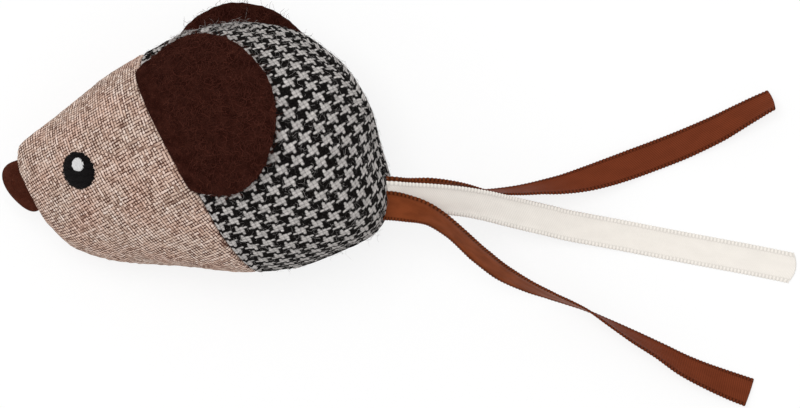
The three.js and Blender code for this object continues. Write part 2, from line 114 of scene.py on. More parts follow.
def makeFloor():
    data = bpy.data.meshes.new("floor")
    half = studio["floorSize"] / 2
    corners = [(-half, -half, 0), (half, -half, 0), (half, half, 0), (-half, half, 0)]
    data.from_pydata(corners, [], [(0, 1, 2, 3)])
    made = addObject("floor", data)
    look = bpy.data.materials.new("floorPaper")
    look.use_nodes = True
    nodes, links = look.node_tree.nodes, look.node_tree.links
    paper = nodes["Principled BSDF"]
    paper.inputs["Base Color"].default_value = studio["floorShade"]
    paper.inputs["Roughness"].default_value = 0.9
    glow = nodes.new("ShaderNodeEmission")
    mix = nodes.new("ShaderNodeMixShader")
    share = nodes.new("ShaderNodeMath")
    share.operation = "MULTIPLY"
    share.inputs[1].default_value = 1 - studio["shadowShare"]
    links.new(seenDirectly(nodes, links), share.inputs[0])
    links.new(share.outputs[0], mix.inputs[0])
    links.new(paper.outputs[0], mix.inputs[1])
    links.new(glow.outputs[0], mix.inputs[2])
    links.new(mix.outputs[0], nodes["Material Output"].inputs["Surface"])
    data.materials.append(look)


makeCamera()
makeLight()
makeFloor()
print("stage: camera, light and floor")

# the stuffed form, in millimetres: x from snout to tail, y to the back, z to the left side

stuffed = {
    "headLength": 36.4, "bodyLength": 39.3, "neckHalfHeight": 26.2, "neckHalfWidth": 19,
    "rearFrom": 18, "rearShort": 0.8, "turn": 25.5, "snoutDown": 13.5, "backUp": 7, "sachetPlace": (8, 0, 0),
    "backLine": [(-1, 0.69), (-0.93, 0.761), (-0.83, 0.801), (-0.64, 0.852), (-0.44, 0.914), (-0.24, 0.974),
                 (0, 1), (0.28, 0.992), (0.534, 0.892), (0.8, 0.612), (0.954, 0.24), (1, -0.229)],
    "bellyLine": [(-1, 0.107), (-0.978, -0.034), (-0.896, -0.229), (-0.706, -0.458), (-0.302, -0.782),
                  (0, -1.018), (0.254, -1.148), (0.552, -1.182), (0.735, -1.15), (0.868, -0.97),
                  (0.94, -0.58), (1, -0.229)],
    "widthLine": [(-1, 0.116), (-0.948, 0.258), (-0.824, 0.421), (-0.55, 0.663), (-0.275, 0.853), (0, 1),
                  (0.254, 1.126), (0.509, 1.19), (0.687, 1.12), (0.84, 0.884), (0.947, 0.526), (1, 0)],
}
headLength, bodyLength = stuffed["headLength"], stuffed["bodyLength"]


def outlineCurve(line, scale):
    points = np.array([(x * (headLength if x < 0 else bodyLength), y * scale) for x, y in line])
    place = np.linspace(0, len(points) - 1, 601)
    k = np.minimum(place.astype(int), len(points) - 2)
    w = (place - k)[:, None]
    before, first, second = points[np.maximum(k - 1, 0)], points[k], points[k + 1]
    after = points[np.minimum(k + 2, len(points) - 1)]
    leave, arrive = (second - before) / 2, (after - first) / 2
    curve = ((2 * first - 2 * second + leave + arrive) * w**3
             + (3 * second - 3 * first - 2 * leave - arrive) * w**2 + leave * w + first)
    return lambda x: np.interp(x, curve[:, 0], curve[:, 1])


backAt = outlineCurve(stuffed["backLine"], stuffed["neckHalfHeight"])
bellyAt = outlineCurve(stuffed["bellyLine"], stuffed["neckHalfHeight"])
halfWidthAt = outlineCurve(stuffed["widthLine"], stuffed["neckHalfWidth"])


def turnAbout(axis, degrees):
    c, s = math.cos(math.radians(degrees)), math.sin(math.radians(degrees))
    a, b = [(1, 2), (2, 0), (0, 1)][axis]
    made = np.eye(3)
    made[a, a], made[a, b], made[b, a], made[b, b] = c, -s, s, c
    return made


toyTurn = turnAbout(2, stuffed["turn"]) @ turnAbout(1, -stuffed["snoutDown"])
toyTurn = toyTurn @ turnAbout(0, stuffed["backUp"])
sachetLow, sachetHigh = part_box("catnip_sachet")
toyOrigin = np.array((sachetLow + sachetHigh) / 2) / mm - toyTurn @ np.array(stuffed["sachetPlace"], float)


def toRow(points):  # toy millimetres to the frame's metres
    return (np.asarray(points, float) @ toyTurn.T + toyOrigin) * mm


def surface(x, angle):
    x, angle = np.broadcast_arrays(np.asarray(x, float), np.asarray(angle, float))
    top, bottom = backAt(x), bellyAt(x)
    y = (top + bottom) / 2 + (top - bottom) / 2 * np.cos(angle)
    rear = np.clip((x - stuffed["rearFrom"]) / (bodyLength - stuffed["rearFrom"]), 0, 1)
    return np.stack([x - stuffed["rearShort"] * rear**2, y, halfWidthAt(x) * np.sin(angle)], -1)


def outward(x, angle):
    x, angle = np.broadcast_arrays(np.asarray(x, float), np.asarray(angle, float))
    ahead = surface(np.minimum(x + 0.05, bodyLength - 0.001), angle)
    along = ahead - surface(np.maximum(x - 0.05, -headLength), angle)
    around = surface(x, angle + 0.01) - surface(x, angle - 0.01)
    normal = np.cross(around, along)
    return normal / np.linalg.norm(normal, axis=-1, keepdims=True)


def skin(x, angle, offset):
    return surface(x, angle) + outward(x, angle) * np.asarray(offset, float)[..., None]


# mesh helpers

def makeMesh(name, points, faces, cloth=None, look=None, tone=None):
    data = bpy.data.meshes.new(name)
    data.from_pydata([tuple(p) for p in points], [], [tuple(int(k) for k in f) for f in faces])
    if cloth is not None:
        held = data.attributes.new("cloth", "FLOAT_VECTOR", "POINT")
        held.data.foreach_set("vector", np.asarray(cloth, np.float32).ravel())
    if tone is not None:
        held = data.attributes.new("tone", "FLOAT", "POINT")
        held.data.foreach_set("value", np.asarray(tone, np.float32))
    work = bmesh.new()
    work.from_mesh(data)
    bmesh.ops.recalc_face_normals(work, faces=work.faces)
    work.to_mesh(data)
    work.free()
    data.polygons.foreach_set("use_smooth", [True] * len(data.polygons))
    if look:
        data.materials.append(look)
    return addObject(name, data)


def gridFaces(rows, columns, start=0, wrap=False):
    i, j = np.meshgrid(np.arange(rows - 1), np.arange(columns if wrap else columns - 1), indexing="ij")
    i, j = i.ravel(), j.ravel()
    k = (j + 1) % columns
    return np.stack([start + i * columns + j, start + (i + 1) * columns + j,
                     start + (i + 1) * columns + k, start + i * columns + k], 1)


def closedSheet(upper, lower):  # two grids of the same size, joined round the rim
    rows, columns = upper.shape[:2]
    size = rows * columns
    faces = [*gridFaces(rows, columns), *gridFaces(rows, columns, size)[:, ::-1]]
    rim = [*[(0, j) for j in range(columns)], *[(i, columns - 1) for i in range(1, rows)],
           *[(rows - 1, j) for j in range(columns - 2, -1, -1)], *[(i, 0) for i in range(rows - 2, 0, -1)]]
    index = [i * columns + j for i, j in rim]
    faces += [(a, b, b + size, a + size) for a, b in zip(index, index[1:] + index[:1])]
    return np.concatenate([upper.reshape(-1, 3), lower.reshape(-1, 3)]), faces


def closedDisc(upper, lower):  # rings by spokes; ring 0 is the middle, and the last ring is shared
    rings, spokes = upper.shape[:2]
    points = [upper[0, 0], *upper[1:].reshape(-1, 3), lower[0, 0], *lower[1:-1].reshape(-1, 3)]
    faces = []
    under = 1 + (rings - 1) * spokes
    for s in range(spokes):
        n = (s + 1) % spokes
        faces.append((0, 1 + s, 1 + n))
        faces.append((under, under + 1 + n, under + 1 + s))
        for r in range(1, rings - 1):
            a, b = 1 + (r - 1) * spokes, 1 + r * spokes
            faces.append((a + s, b + s, b + n, a + n))
            a = under + a
            b = under + b if r < rings - 2 else b
            faces.append((a + s, a + n, b + n, b + s))
    return np.array(points), faces


def tubes(paths, radius, sides=6):  # paths: many lines of the same number of points
    paths = np.asarray(paths, float)
    count, steps = paths.shape[:2]
    tangent = np.gradient(paths, axis=1)
    tangent /= np.linalg.norm(tangent, axis=-1, keepdims=True) + 1e-12
    helper = np.where(np.abs(tangent[..., 2:3]) > 0.8, [1.0, 0, 0], [0, 0, 1.0])
    side = np.cross(tangent, helper)
    side /= np.linalg.norm(side, axis=-1, keepdims=True)
    up = np.cross(side, tangent)
    radius = np.broadcast_to(radius, (count, steps))[..., None]
    around = [math.tau * k / sides for k in range(sides)]
    ringPoints = np.stack([paths + radius * (side * math.cos(a) + up * math.sin(a)) for a in around], 2)
    faces = []
    for n in range(count):
        start = n * steps * sides
        faces += list(gridFaces(steps, sides, start, wrap=True))
        faces.append(tuple(range(start, start + sides)))
        faces.append(tuple(start + (steps - 1) * sides + k for k in range(sides))[::-1])
    return ringPoints.reshape(-1, 3), faces


def lumps(points, wavelength, waves=7):  # smooth unevenness between about -1 and 1
    total = np.zeros(np.asarray(points).shape[:-1])
    for _ in range(waves):
        direction = draw.normal(size=3)
        direction /= np.linalg.norm(direction)
        wave = wavelength * draw.uniform(0.7, 1.4)
        total += np.sin(points @ direction * math.tau / wave + draw.uniform(0, math.tau))
    return total / math.sqrt(waves) / 1.4


# node helpers

def feed(tree, value, socket):
    if isinstance(value, bpy.types.NodeSocket):
        tree.links.new(value, socket)
    else:
        socket.default_value = value


def mathOf(tree, operation, *values):
    node = tree.nodes.new("ShaderNodeMath")
    node.operation = operation
    for socket, value in zip(node.inputs, values):
        feed(tree, value, socket)
    return node.outputs[0]


def vectorOf(tree, operation, *values):
    node = tree.nodes.new("ShaderNodeVectorMath")
    node.operation = operation
    for socket, value in zip(node.inputs, values):
        feed(tree, value, socket)
    return node.outputs[0]


def combine(tree, x, y, z=0.0):
    node = tree.nodes.new("ShaderNodeCombineXYZ")
    for socket, value in zip(node.inputs, (x, y, z)):
        feed(tree, value, socket)
    return node.outputs[0]


def split(tree, vector):
    node = tree.nodes.new("ShaderNodeSeparateXYZ")
    feed(tree, vector, node.inputs[0])
    return node.outputs


def noiseOf(tree, vector, scale, detail=2.0, roughness=0.5, colour=False):
    node = tree.nodes.new("ShaderNodeTexNoise")
    feed(tree, vector, node.inputs["Vector"])
    for name, value in (("Scale", scale), ("Detail", detail), ("Roughness", roughness)):
        feed(tree, value, node.inputs[name])
    return node.outputs[1 if colour else 0]


def wanderOf(tree, vector, scale, detail, amount):  # a smooth shift to all sides
    noise = noiseOf(tree, vector, scale, detail, colour=True)
    node = tree.nodes.new("ShaderNodeVectorMath")
    node.operation = "SCALE"
    feed(tree, vectorOf(tree, "SUBTRACT", noise, (0.5, 0.5, 0.5)), node.inputs[0])
    feed(tree, amount, node.inputs["Scale"])
    return node.outputs[0]


def mixOf(tree, share, first, second, blend="MIX"):
    node = tree.nodes.new("ShaderNodeMix")
    node.data_type, node.blend_type = "RGBA", blend
    for k, value in ((0, share), (6, first), (7, second)):
        feed(tree, value, node.inputs[k])
    return node.outputs[2]


def shaded(tree, colour, share):
    return mixOf(tree, 1.0, colour, combine(tree, share, share, share), "MULTIPLY")


def rangeOf(tree, value, low, high, toLow=0.0, toHigh=1.0, smooth=True):
    node = tree.nodes.new("ShaderNodeMapRange")
    node.interpolation_type = "SMOOTHSTEP" if smooth else "LINEAR"
    for k, item in enumerate((value, low, high, toLow, toHigh)):
        feed(tree, item, node.inputs[k])
    return node.outputs[0]


def newGroup(name, inputs, outputs):
    tree = bpy.data.node_groups.new(name, "ShaderNodeTree")
    for label, kind, value in inputs:
        socket = tree.interface.new_socket(label, in_out="INPUT", socket_type="NodeSocket" + kind)
        if value is not None:
            socket.default_value = value
    for label, kind in outputs:
        tree.interface.new_socket(label, in_out="OUTPUT", socket_type="NodeSocket" + kind)
    return tree, tree.nodes.new("NodeGroupInput").outputs, tree.nodes.new("NodeGroupOutput").inputs


def useGroup(tree, group, **values):
    node = tree.nodes.new("ShaderNodeGroup")
    node.node_tree = group
    for label, value in values.items():
        feed(tree, value, node.inputs[label])
    return node.outputs


def attributeOf(tree, name, output="Vector"):
    node = tree.nodes.new("ShaderNodeAttribute")
    node.attribute_name = name
    return node.outputs[output]


def newMaterial(name, roughness, sheen=0.0, specular=0.4):
    look = bpy.data.materials.new(name)
    look.use_nodes = True
    shader = look.node_tree.nodes["Principled BSDF"]
    shader.inputs["Roughness"].default_value = roughness
    shader.inputs["Sheen Weight"].default_value = sheen
    shader.inputs["Sheen Roughness"].default_value = 0.5
    shader.inputs["Specular IOR Level"].default_value = specular
    return look, look.node_tree, shader


def bumpOf(tree, height, depth):
    node = tree.nodes.new("ShaderNodeBump")
    node.inputs["Strength"].default_value = 1
    node.inputs["Distance"].default_value = depth
    feed(tree, height, node.inputs["Height"])
    return node.outputs[0]


# shared effects

edgeBeadPitch = 0.78  # the woven beads along a ribbon's edges, in millimetres


def threadWeaveGroup():
    # threads in both directions: which one is on top, its height, and a tone that drifts along each thread
    tree, given, out = newGroup(
        "threadWeave",
        [("Cloth", "Vector", None), ("Warp Pitch", "Float", 0.7), ("Weft Pitch", "Float", 0.7),
         ("Repeat", "Float", 2.0), ("Phase", "Float", 0.0), ("Wander", "Float", 0.1), ("Slub", "Float", 2.0),
         ("Missed", "Float", 0.0)],
        [(label, "Float") for label in ("Height", "Over", "Tone", "Warp", "Weft", "Cell")])
    cloth = given["Cloth"]
    drift = wanderOf(tree, cloth, 0.55, 3.0, mathOf(tree, "MULTIPLY", given["Wander"], 2.2))
    fray = wanderOf(tree, cloth, 4.0, 2.0, mathOf(tree, "MULTIPLY", given["Wander"], 1.4))
    u, v, _ = split(tree, vectorOf(tree, "ADD", cloth, vectorOf(tree, "ADD", drift, fray)))
    acrossWarp = mathOf(tree, "DIVIDE", u, given["Warp Pitch"])
    acrossWeft = mathOf(tree, "DIVIDE", v, given["Weft Pitch"])
    warp, weft = mathOf(tree, "FLOOR", acrossWarp), mathOf(tree, "FLOOR", acrossWeft)
    place = mathOf(tree, "ADD", mathOf(tree, "ADD", warp, weft), given["Phase"])
    turn = mathOf(tree, "FLOORED_MODULO", place, given["Repeat"])
    over = mathOf(tree, "LESS_THAN", turn, mathOf(tree, "MULTIPLY", given["Repeat"], 0.5))
    chance = tree.nodes.new("ShaderNodeTexWhiteNoise")
    feed(tree, combine(tree, warp, weft, 3.0), chance.inputs["Vector"])
    missed = mathOf(tree, "LESS_THAN", chance.outputs["Value"], given["Missed"])
    over = mathOf(tree, "ABSOLUTE", mathOf(tree, "SUBTRACT", over, missed))
    feed(tree, split(tree, chance.outputs["Color"])[1], out["Cell"])

    def crown(across):
        centred = mathOf(tree, "SUBTRACT", mathOf(tree, "FRACT", across), 0.5)
        squared = mathOf(tree, "MULTIPLY", centred, centred)
        return mathOf(tree, "SUBTRACT", 1.0, mathOf(tree, "MULTIPLY", squared, 4.0))

    warpCrown, weftCrown = crown(acrossWarp), crown(acrossWeft)

    def arch(own, other):
        return mathOf(tree, "MULTIPLY", own, mathOf(tree, "MULTIPLY_ADD", other, 0.45, 0.55))

    def pick(onTop, below):
        node = tree.nodes.new("ShaderNodeMix")
        for k, value in ((0, over), (2, below), (3, onTop)):
            feed(tree, value, node.inputs[k])
        return node.outputs[0]

    alongWarp, alongWeft = [mathOf(tree, "DIVIDE", length, given["Slub"]) for length in (v, u)]
    warpPlace = combine(tree, mathOf(tree, "MULTIPLY", warp, 7.31), alongWarp)
    weftPlace = combine(tree, alongWeft, mathOf(tree, "MULTIPLY", weft, 5.77), 9.0)
    warpTone, weftTone = [noiseOf(tree, spot, 1.0, 3.0, 0.6) for spot in (warpPlace, weftPlace)]
    feed(tree, pick(arch(warpCrown, weftCrown), arch(weftCrown, warpCrown)), out["Height"])
    feed(tree, over, out["Over"])
    feed(tree, pick(warpTone, weftTone), out["Tone"])
    feed(tree, acrossWarp, out["Warp"])
    feed(tree, acrossWeft, out["Weft"])
    return tree


def feltFibreGroup():
    # crossing, curled fibres: four stretched noises in turned directions
    tree, given, out = newGroup(
        "feltFibre", [("Cloth", "Vector", None), ("Fineness", "Float", 5.0), ("Curl", "Float", 0.5)],
        [("Fibre", "Float"), ("Mottle", "Float"), ("Height", "Float")])
    cloth = given["Cloth"]
    bend = wanderOf(tree, cloth, 0.7, 2.0, mathOf(tree, "MULTIPLY", given["Curl"], 2.6))
    curled = vectorOf(tree, "ADD", cloth, bend)
    total = None
    for k, degrees in enumerate((12, 58, 103, 151)):
        turn = tree.nodes.new("ShaderNodeVectorRotate")
        turn.rotation_type = "Z_AXIS"
        feed(tree, curled, turn.inputs["Vector"])
        turn.inputs["Angle"].default_value = math.radians(degrees)
        apart = (3.7 * k, 1.9 * k, 5.1 * k)
        stretched = vectorOf(tree, "MULTIPLY_ADD", turn.outputs[0], (0.14, 1.0, 1.0), apart)
        line = rangeOf(tree, noiseOf(tree, stretched, given["Fineness"], 2.0, 0.6), 0.56, 0.74)
        total = line if total is None else mathOf(tree, "MAXIMUM", total, line)
    mottle = noiseOf(tree, cloth, 0.45, 4.0, 0.65)
    feed(tree, total, out["Fibre"])
    feed(tree, mottle, out["Mottle"])
    feed(tree, mathOf(tree, "MULTIPLY_ADD", total, 0.7, mathOf(tree, "MULTIPLY", mottle, 0.6)), out["Height"])
    return tree


def satinRibGroup():
    # fine lines across a ribbon, slanted by Slant, with a little drift in their depth
    tree, given, out = newGroup(
        "satinRib",
        [("Cloth", "Vector", None), ("Pitch", "Float", 0.45), ("Slant", "Float", 0.0),
         ("Bead Pitch", "Float", edgeBeadPitch)],
        [(label, "Float") for label in ("Height", "Tone", "Selvedge", "Bead", "Gap")])
    along, across, _ = split(tree, given["Cloth"])
    slanted = mathOf(tree, "MULTIPLY_ADD", across, given["Slant"], along)
    wave = mathOf(tree, "MULTIPLY", mathOf(tree, "DIVIDE", slanted, given["Pitch"]), math.tau)
    ridge = mathOf(tree, "MULTIPLY_ADD", mathOf(tree, "SINE", wave), 0.5, 0.5)
    spot = combine(tree, mathOf(tree, "MULTIPLY", along, 0.22), mathOf(tree, "MULTIPLY", across, 0.5))
    tone = noiseOf(tree, spot, 1.0, 3.0)
    fromMiddle = mathOf(tree, "ABSOLUTE", across)
    selvedge = rangeOf(tree, fromMiddle, 2.35, 2.5)
    fromLine = mathOf(tree, "ABSOLUTE", mathOf(tree, "SUBTRACT", fromMiddle, 2.42))
    line = rangeOf(tree, fromLine, 0.0, 0.16, 0.55, 0.0)
    beadPlace = mathOf(tree, "MULTIPLY", mathOf(tree, "DIVIDE", along, given["Bead Pitch"]), math.tau)
    bead = rangeOf(tree, mathOf(tree, "COSINE", beadPlace), -0.7, 0.5)
    feed(tree, ridge, out["Height"])
    feed(tree, tone, out["Tone"])
    feed(tree, selvedge, out["Selvedge"])
    feed(tree, mathOf(tree, "MULTIPLY", selvedge, bead), out["Bead"])
    # Gap: where the painted shade goes, between the edge beads; also a darker line inside the selvedge
    between = mathOf(tree, "MULTIPLY", selvedge, mathOf(tree, "SUBTRACT", 1.0, bead))
    feed(tree, mathOf(tree, "MAXIMUM", line, between), out["Gap"])
    return tree


threadWeave, feltFibre, satinRib = threadWeaveGroup(), feltFibreGroup(), satinRibGroup()
print("node groups: weave, felt and satin")

# finishes; colours are linear

finishes = {
    "linenDark": (0.2, 0.115, 0.085, 1), "linenMiddle": (0.66, 0.485, 0.39, 1),
    # linenGapShade is painted shade: the dark brown shown between and beside the threads
    "linenPale": (0.9, 0.75, 0.66, 1), "linenGapShade": (0.085, 0.036, 0.024, 1),
    "linenPatch": (0.98, 0.8, 0.76, 1),
    "linenWarpPitch": 0.7, "linenWeftPitch": 0.72, "linenSlub": 3.6, "linenTurn": -17,
    "linenDepth": 0.16 * mm,
    "woolDark": (0.0036, 0.0027, 0.0024, 1), "woolPale": (0.6, 0.565, 0.545, 1),
    "woolWarpPitch": 3.95 / 4, "woolWeftPitch": 2.9 / 4, "woolThreads": 4.0, "woolDarkThreads": 2.0,
    "woolToothEdge": 0.54, "woolDepth": 0.14 * mm, "woolTurn": 14.5,
    "woolBlur": ((0, 0, 0), (0.17, 0.09, 0), (-0.15, 0.11, 0), (0.02, -0.19, 0)),
    "earDark": (0.017, 0.0037, 0.0024, 1), "earPale": (0.12, 0.036, 0.024, 1),
    "noseDark": (0.052, 0.0125, 0.007, 1), "nosePale": (0.17, 0.054, 0.033, 1),
    "brown": (0.2, 0.049, 0.0165, 1), "brownReverse": (0.172, 0.038, 0.015, 1),
    "cream": (0.91, 0.86, 0.795, 1),
    "threadBlack": (0.009, 0.0065, 0.007, 1), "threadWhite": (0.72, 0.715, 0.715, 1),
}


def scaled(colour, share):
    return (*[c * share for c in colour[:3]], 1)


def linenMaterial():
    look, tree, shader = newMaterial("linen", 0.9, specular=0.08)
    cloth = attributeOf(tree, "cloth")
    weave = useGroup(tree, threadWeave, **{
        "Cloth": cloth, "Warp Pitch": finishes["linenWarpPitch"], "Weft Pitch": finishes["linenWeftPitch"],
        "Repeat": 2.0, "Wander": 0.12, "Slub": finishes["linenSlub"], "Missed": 0.13})
    tone = rangeOf(tree, weave["Tone"], 0.2, 0.8)
    below, above = [rangeOf(tree, tone, *ends, smooth=False) for ends in ((0.0, 0.38), (0.38, 0.9))]
    colour = mixOf(tree, below, finishes["linenDark"], finishes["linenMiddle"])
    colour = mixOf(tree, above, colour, finishes["linenPale"])
    slack = rangeOf(tree, weave["Cell"], 0.0, 0.6, 0.38, 0.0, smooth=False)  # open crossings show dark gaps: painted shade between the threads
    # painted shade: darker at each thread's edges and in open crossings, and floats on top a little lighter
    # than threads below
    shade = rangeOf(tree, mathOf(tree, "SUBTRACT", weave["Height"], slack), 0.16, 0.64)
    shade = mathOf(tree, "MULTIPLY", shade, mathOf(tree, "MULTIPLY_ADD", weave["Over"], 0.08, 0.92))
    colour = mixOf(tree, shade, finishes["linenGapShade"], colour)
    patch = noiseOf(tree, cloth, 0.11, 3.0)
    dyed = mixOf(tree, 1.0, colour, finishes["linenPatch"], "MULTIPLY")
    colour = mixOf(tree, rangeOf(tree, patch, 0.35, 0.7, 0.0, 0.5), colour, dyed)
    feed(tree, colour, shader.inputs["Base Color"])
    feed(tree, bumpOf(tree, weave["Height"], finishes["linenDepth"]), shader.inputs["Normal"])
    feed(tree, rangeOf(tree, weave["Tone"], 0.2, 0.8, 0.95, 0.82), shader.inputs["Roughness"])
    return look


def woolMaterial():
    look, tree, shader = newMaterial("houndstooth", 0.95, specular=0.03)
    cloth = attributeOf(tree, "cloth")

    def stripe(thread):  # dark threads, then pale ones
        place = mathOf(tree, "FLOORED_MODULO", thread, finishes["woolThreads"])
        return mathOf(tree, "LESS_THAN", place, finishes["woolDarkThreads"])

    readings, total = [], 0.0
    for shift in finishes["woolBlur"]:  # the fuzzy nap softens the edges
        weave = useGroup(tree, threadWeave, **{
            "Cloth": vectorOf(tree, "ADD", cloth, shift), "Warp Pitch": finishes["woolWarpPitch"],
            "Weft Pitch": finishes["woolWeftPitch"], "Repeat": 2.0, "Phase": 1.0,
            "Wander": 0.15, "Slub": 1.2})
        readings.append(weave)
        warpDark, weftDark = stripe(weave["Warp"]), stripe(weave["Weft"])
        under = mathOf(tree, "SUBTRACT", 1.0, weave["Over"])
        onTop = mathOf(tree, "ADD", mathOf(tree, "MULTIPLY", weave["Over"], warpDark),
                       mathOf(tree, "MULTIPLY", under, weftDark))
        edge = mathOf(tree, "LESS_THAN", weave["Height"], finishes["woolToothEdge"])  # the teeth taper
        hidden = mathOf(tree, "MULTIPLY", mathOf(tree, "MAXIMUM", warpDark, weftDark), edge)
        total = mathOf(tree, "ADD", total, mathOf(tree, "MAXIMUM", onTop, hidden))
    weave = readings[0]
    dark = rangeOf(tree, total, 0.6, len(readings) - 0.6)
    hair = useGroup(tree, feltFibre, **{"Cloth": cloth, "Fineness": 7.0, "Curl": 0.6})
    tone = rangeOf(tree, weave["Tone"], 0.25, 0.75, 0.62, 1.12)
    darkHair, paleHair = [mathOf(tree, "MULTIPLY", hair["Fibre"], share) for share in (0.22, 0.16)]
    pale = shaded(tree, finishes["woolPale"], tone)
    pale = mixOf(tree, darkHair, pale, scaled(finishes["woolPale"], 0.3))
    black = mixOf(tree, paleHair, finishes["woolDark"], scaled(finishes["woolPale"], 0.25))
    # painted shade: each yarn darker towards its edges, where it dips under the crossing yarn
    shade = rangeOf(tree, weave["Height"], 0.0, 0.7, 0.55, 1.06)
    feed(tree, shaded(tree, mixOf(tree, dark, pale, black), shade), shader.inputs["Base Color"])
    height = mathOf(tree, "MULTIPLY_ADD", hair["Height"], 0.45, weave["Height"])
    feed(tree, bumpOf(tree, height, finishes["woolDepth"]), shader.inputs["Normal"])
    feed(tree, rangeOf(tree, weave["Tone"], 0.2, 0.8, 1.0, 0.88), shader.inputs["Roughness"])
    return look


def feltMaterial(name, dark, pale, fineness, depth):
    look, tree, shader = newMaterial(name, 0.95, specular=0.02)
    cloth = attributeOf(tree, "cloth")
    felt = useGroup(tree, feltFibre, **{"Cloth": cloth, "Fineness": fineness, "Curl": 0.8})
    mottle = rangeOf(tree, felt["Mottle"], 0.35, 0.7, 0.0, 0.2)
    share = mathOf(tree, "MULTIPLY_ADD", felt["Fibre"], 0.55, mottle)
    feed(tree, mixOf(tree, share, dark, pale), shader.inputs["Base Color"])
    feed(tree, bumpOf(tree, felt["Height"], depth), shader.inputs["Normal"])
    feed(tree, rangeOf(tree, felt["Mottle"], 0.2, 0.8, 1.0, 0.9), shader.inputs["Roughness"])
    return look


def satinMaterial(name, colour, pitch, slant, depth, roughness, ribShade, drift, edgeDark, edgeShade):
    look, tree, shader = newMaterial(name, roughness, specular=0.03)
    tint = [min(1, 0.35 + 0.65 * c / colour[0]) for c in colour[:3]]
    shader.inputs["Specular Tint"].default_value = (*tint, 1)
    rib = useGroup(tree, satinRib, **{"Cloth": attributeOf(tree, "cloth"), "Pitch": pitch, "Slant": slant})
    plain = mathOf(tree, "SUBTRACT", 1.0, rib["Selvedge"])
    ridge = mathOf(tree, "MULTIPLY_ADD", mathOf(tree, "SUBTRACT", rib["Height"], 1.0), plain, 1.0)
    # painted shade: darker in the grooves between the ribs
    shade = rangeOf(tree, ridge, 0.0, 0.8, 1 - ribShade, 1.0)
    # painted sheen: drift makes long stretches of the ribbon lighter or darker, in place of the satin's
    # highlights
    both = mathOf(tree, "MULTIPLY", shade, rangeOf(tree, rib["Tone"], 0.3, 0.7, 1 - drift, 1 + drift))
    edge = mathOf(tree, "MULTIPLY_ADD", rib["Selvedge"], -edgeDark, 1.0)
    # painted shade between the edge beads; also a darker line inside the selvedge
    both = mathOf(tree, "MULTIPLY", both, mathOf(tree, "MULTIPLY_ADD", rib["Gap"], -edgeShade, edge))
    feed(tree, shaded(tree, colour, both), shader.inputs["Base Color"])
    height = mathOf(tree, "MULTIPLY_ADD", rib["Bead"], 1.5, ridge)
    feed(tree, bumpOf(tree, height, depth), shader.inputs["Normal"])
    gloss = rangeOf(tree, rib["Tone"], 0.3, 0.7, roughness + 0.05, roughness - 0.05)
    feed(tree, gloss, shader.inputs["Roughness"])
    return look


def threadMaterial(name, colour, depth):
    look, tree, shader = newMaterial(name, 0.55, specular=0.3 if depth < 0.1 else 0.12)
    cloth = attributeOf(tree, "cloth")
    along, around, _ = split(tree, cloth)
    slanted = mathOf(tree, "ADD", along, mathOf(tree, "MULTIPLY", around, 0.5))
    twist = mathOf(tree, "SINE", mathOf(tree, "MULTIPLY", slanted, 26.0))
    # painted shade and highlight along the thread's twist: darker in the grooves, slightly lighter on the
    # ridges
    shade = rangeOf(tree, twist, -1.0, 1.0, 1 - depth, 1 + depth / 3)
    drift = rangeOf(tree, noiseOf(tree, cloth, 1.6, 2.0), 0.3, 0.7, 1 - depth, 1.0)
    both = mathOf(tree, "MULTIPLY", shade, drift)
    feed(tree, shaded(tree, colour, both), shader.inputs["Base Color"])
    feed(tree, bumpOf(tree, twist, 0.1 * depth * mm), shader.inputs["Normal"])
    return look


def strandMaterial(name, dark, pale):
    look, tree, shader = newMaterial(name, 0.9, specular=0.05)
    feed(tree, mixOf(tree, attributeOf(tree, "tone", "Fac"), dark, pale), shader.inputs["Base Color"])
    return look


# in each finish: ribShade is painted shade in the rib grooves, drift a painted sheen along the ribbon,
# edgeShade painted shade between the edge beads
satins = {
    "brownSatin": {"colour": finishes["brown"], "pitch": 0.33, "slant": 0.7, "depth": 0.014 * mm,
                   "roughness": 0.45, "ribShade": 0.14, "drift": 0.14, "edgeDark": 0.2, "edgeShade": 0.5},
    "brownReverse": {"colour": finishes["brownReverse"], "pitch": 0.46, "slant": -0.5, "depth": 0.03 * mm,
                     "roughness": 0.5, "ribShade": 0.3, "drift": 0.06, "edgeDark": 0.2, "edgeShade": 0.45},
    "creamSatin": {"colour": finishes["cream"], "pitch": 0.5, "slant": 0.9, "depth": 0.016 * mm,
                   "roughness": 0.45, "ribShade": 0.09, "drift": 0.02, "edgeDark": 0.0, "edgeShade": 0.2},
    "creamReverse": {"colour": finishes["cream"], "pitch": 0.54, "slant": -0.15, "depth": 0.04 * mm,
                     "roughness": 0.5, "ribShade": 0.13, "drift": 0.02, "edgeDark": 0.0, "edgeShade": 0.2},
}
linen, wool = linenMaterial(), woolMaterial()
earFelt = feltMaterial("earFelt", finishes["earDark"], finishes["earPale"], 6.0, 0.16 * mm)
noseFelt = feltMaterial("noseFelt", finishes["noseDark"], finishes["nosePale"], 6.5, 0.14 * mm)
brownFace, brownBack, creamFace, creamBack = [satinMaterial(name, **look) for name, look in satins.items()]
blackThread = threadMaterial("blackThread", finishes["threadBlack"], 0.3)
whiteThread = threadMaterial("whiteThread", finishes["threadWhite"], 0.06)
woolStrand = strandMaterial("woolStrand", scaled(finishes["woolDark"], 2), finishes["woolPale"])
feltStrand = strandMaterial("feltStrand", finishes["earDark"], finishes["earPale"])
print("materials: linen, wool, felt, satin and thread")

# tail ribbons

ribbonSize = {
    "thickness": 0.3, "layer": 0.75, "rootDepth": 4, "exitShare": 0.87, "exitHeight": -24.82, "bead": 0.15,
    "step": 0.195, "columns": (-1, -0.965, -0.9, -0.8, -0.75, -0.4, 0, 0.4, 0.75, 0.8, 0.9, 0.965, 1),
    "selvedgeFrom": 0.78, "beadFrom": 0.93, "rimFrom": 0.99,  # shares of the half width
    "selvedgeThick": 1.35, "beadThick": 0.35, "rimThick": 0.3, "endReach": 3, "floorGap": 0.05,
}
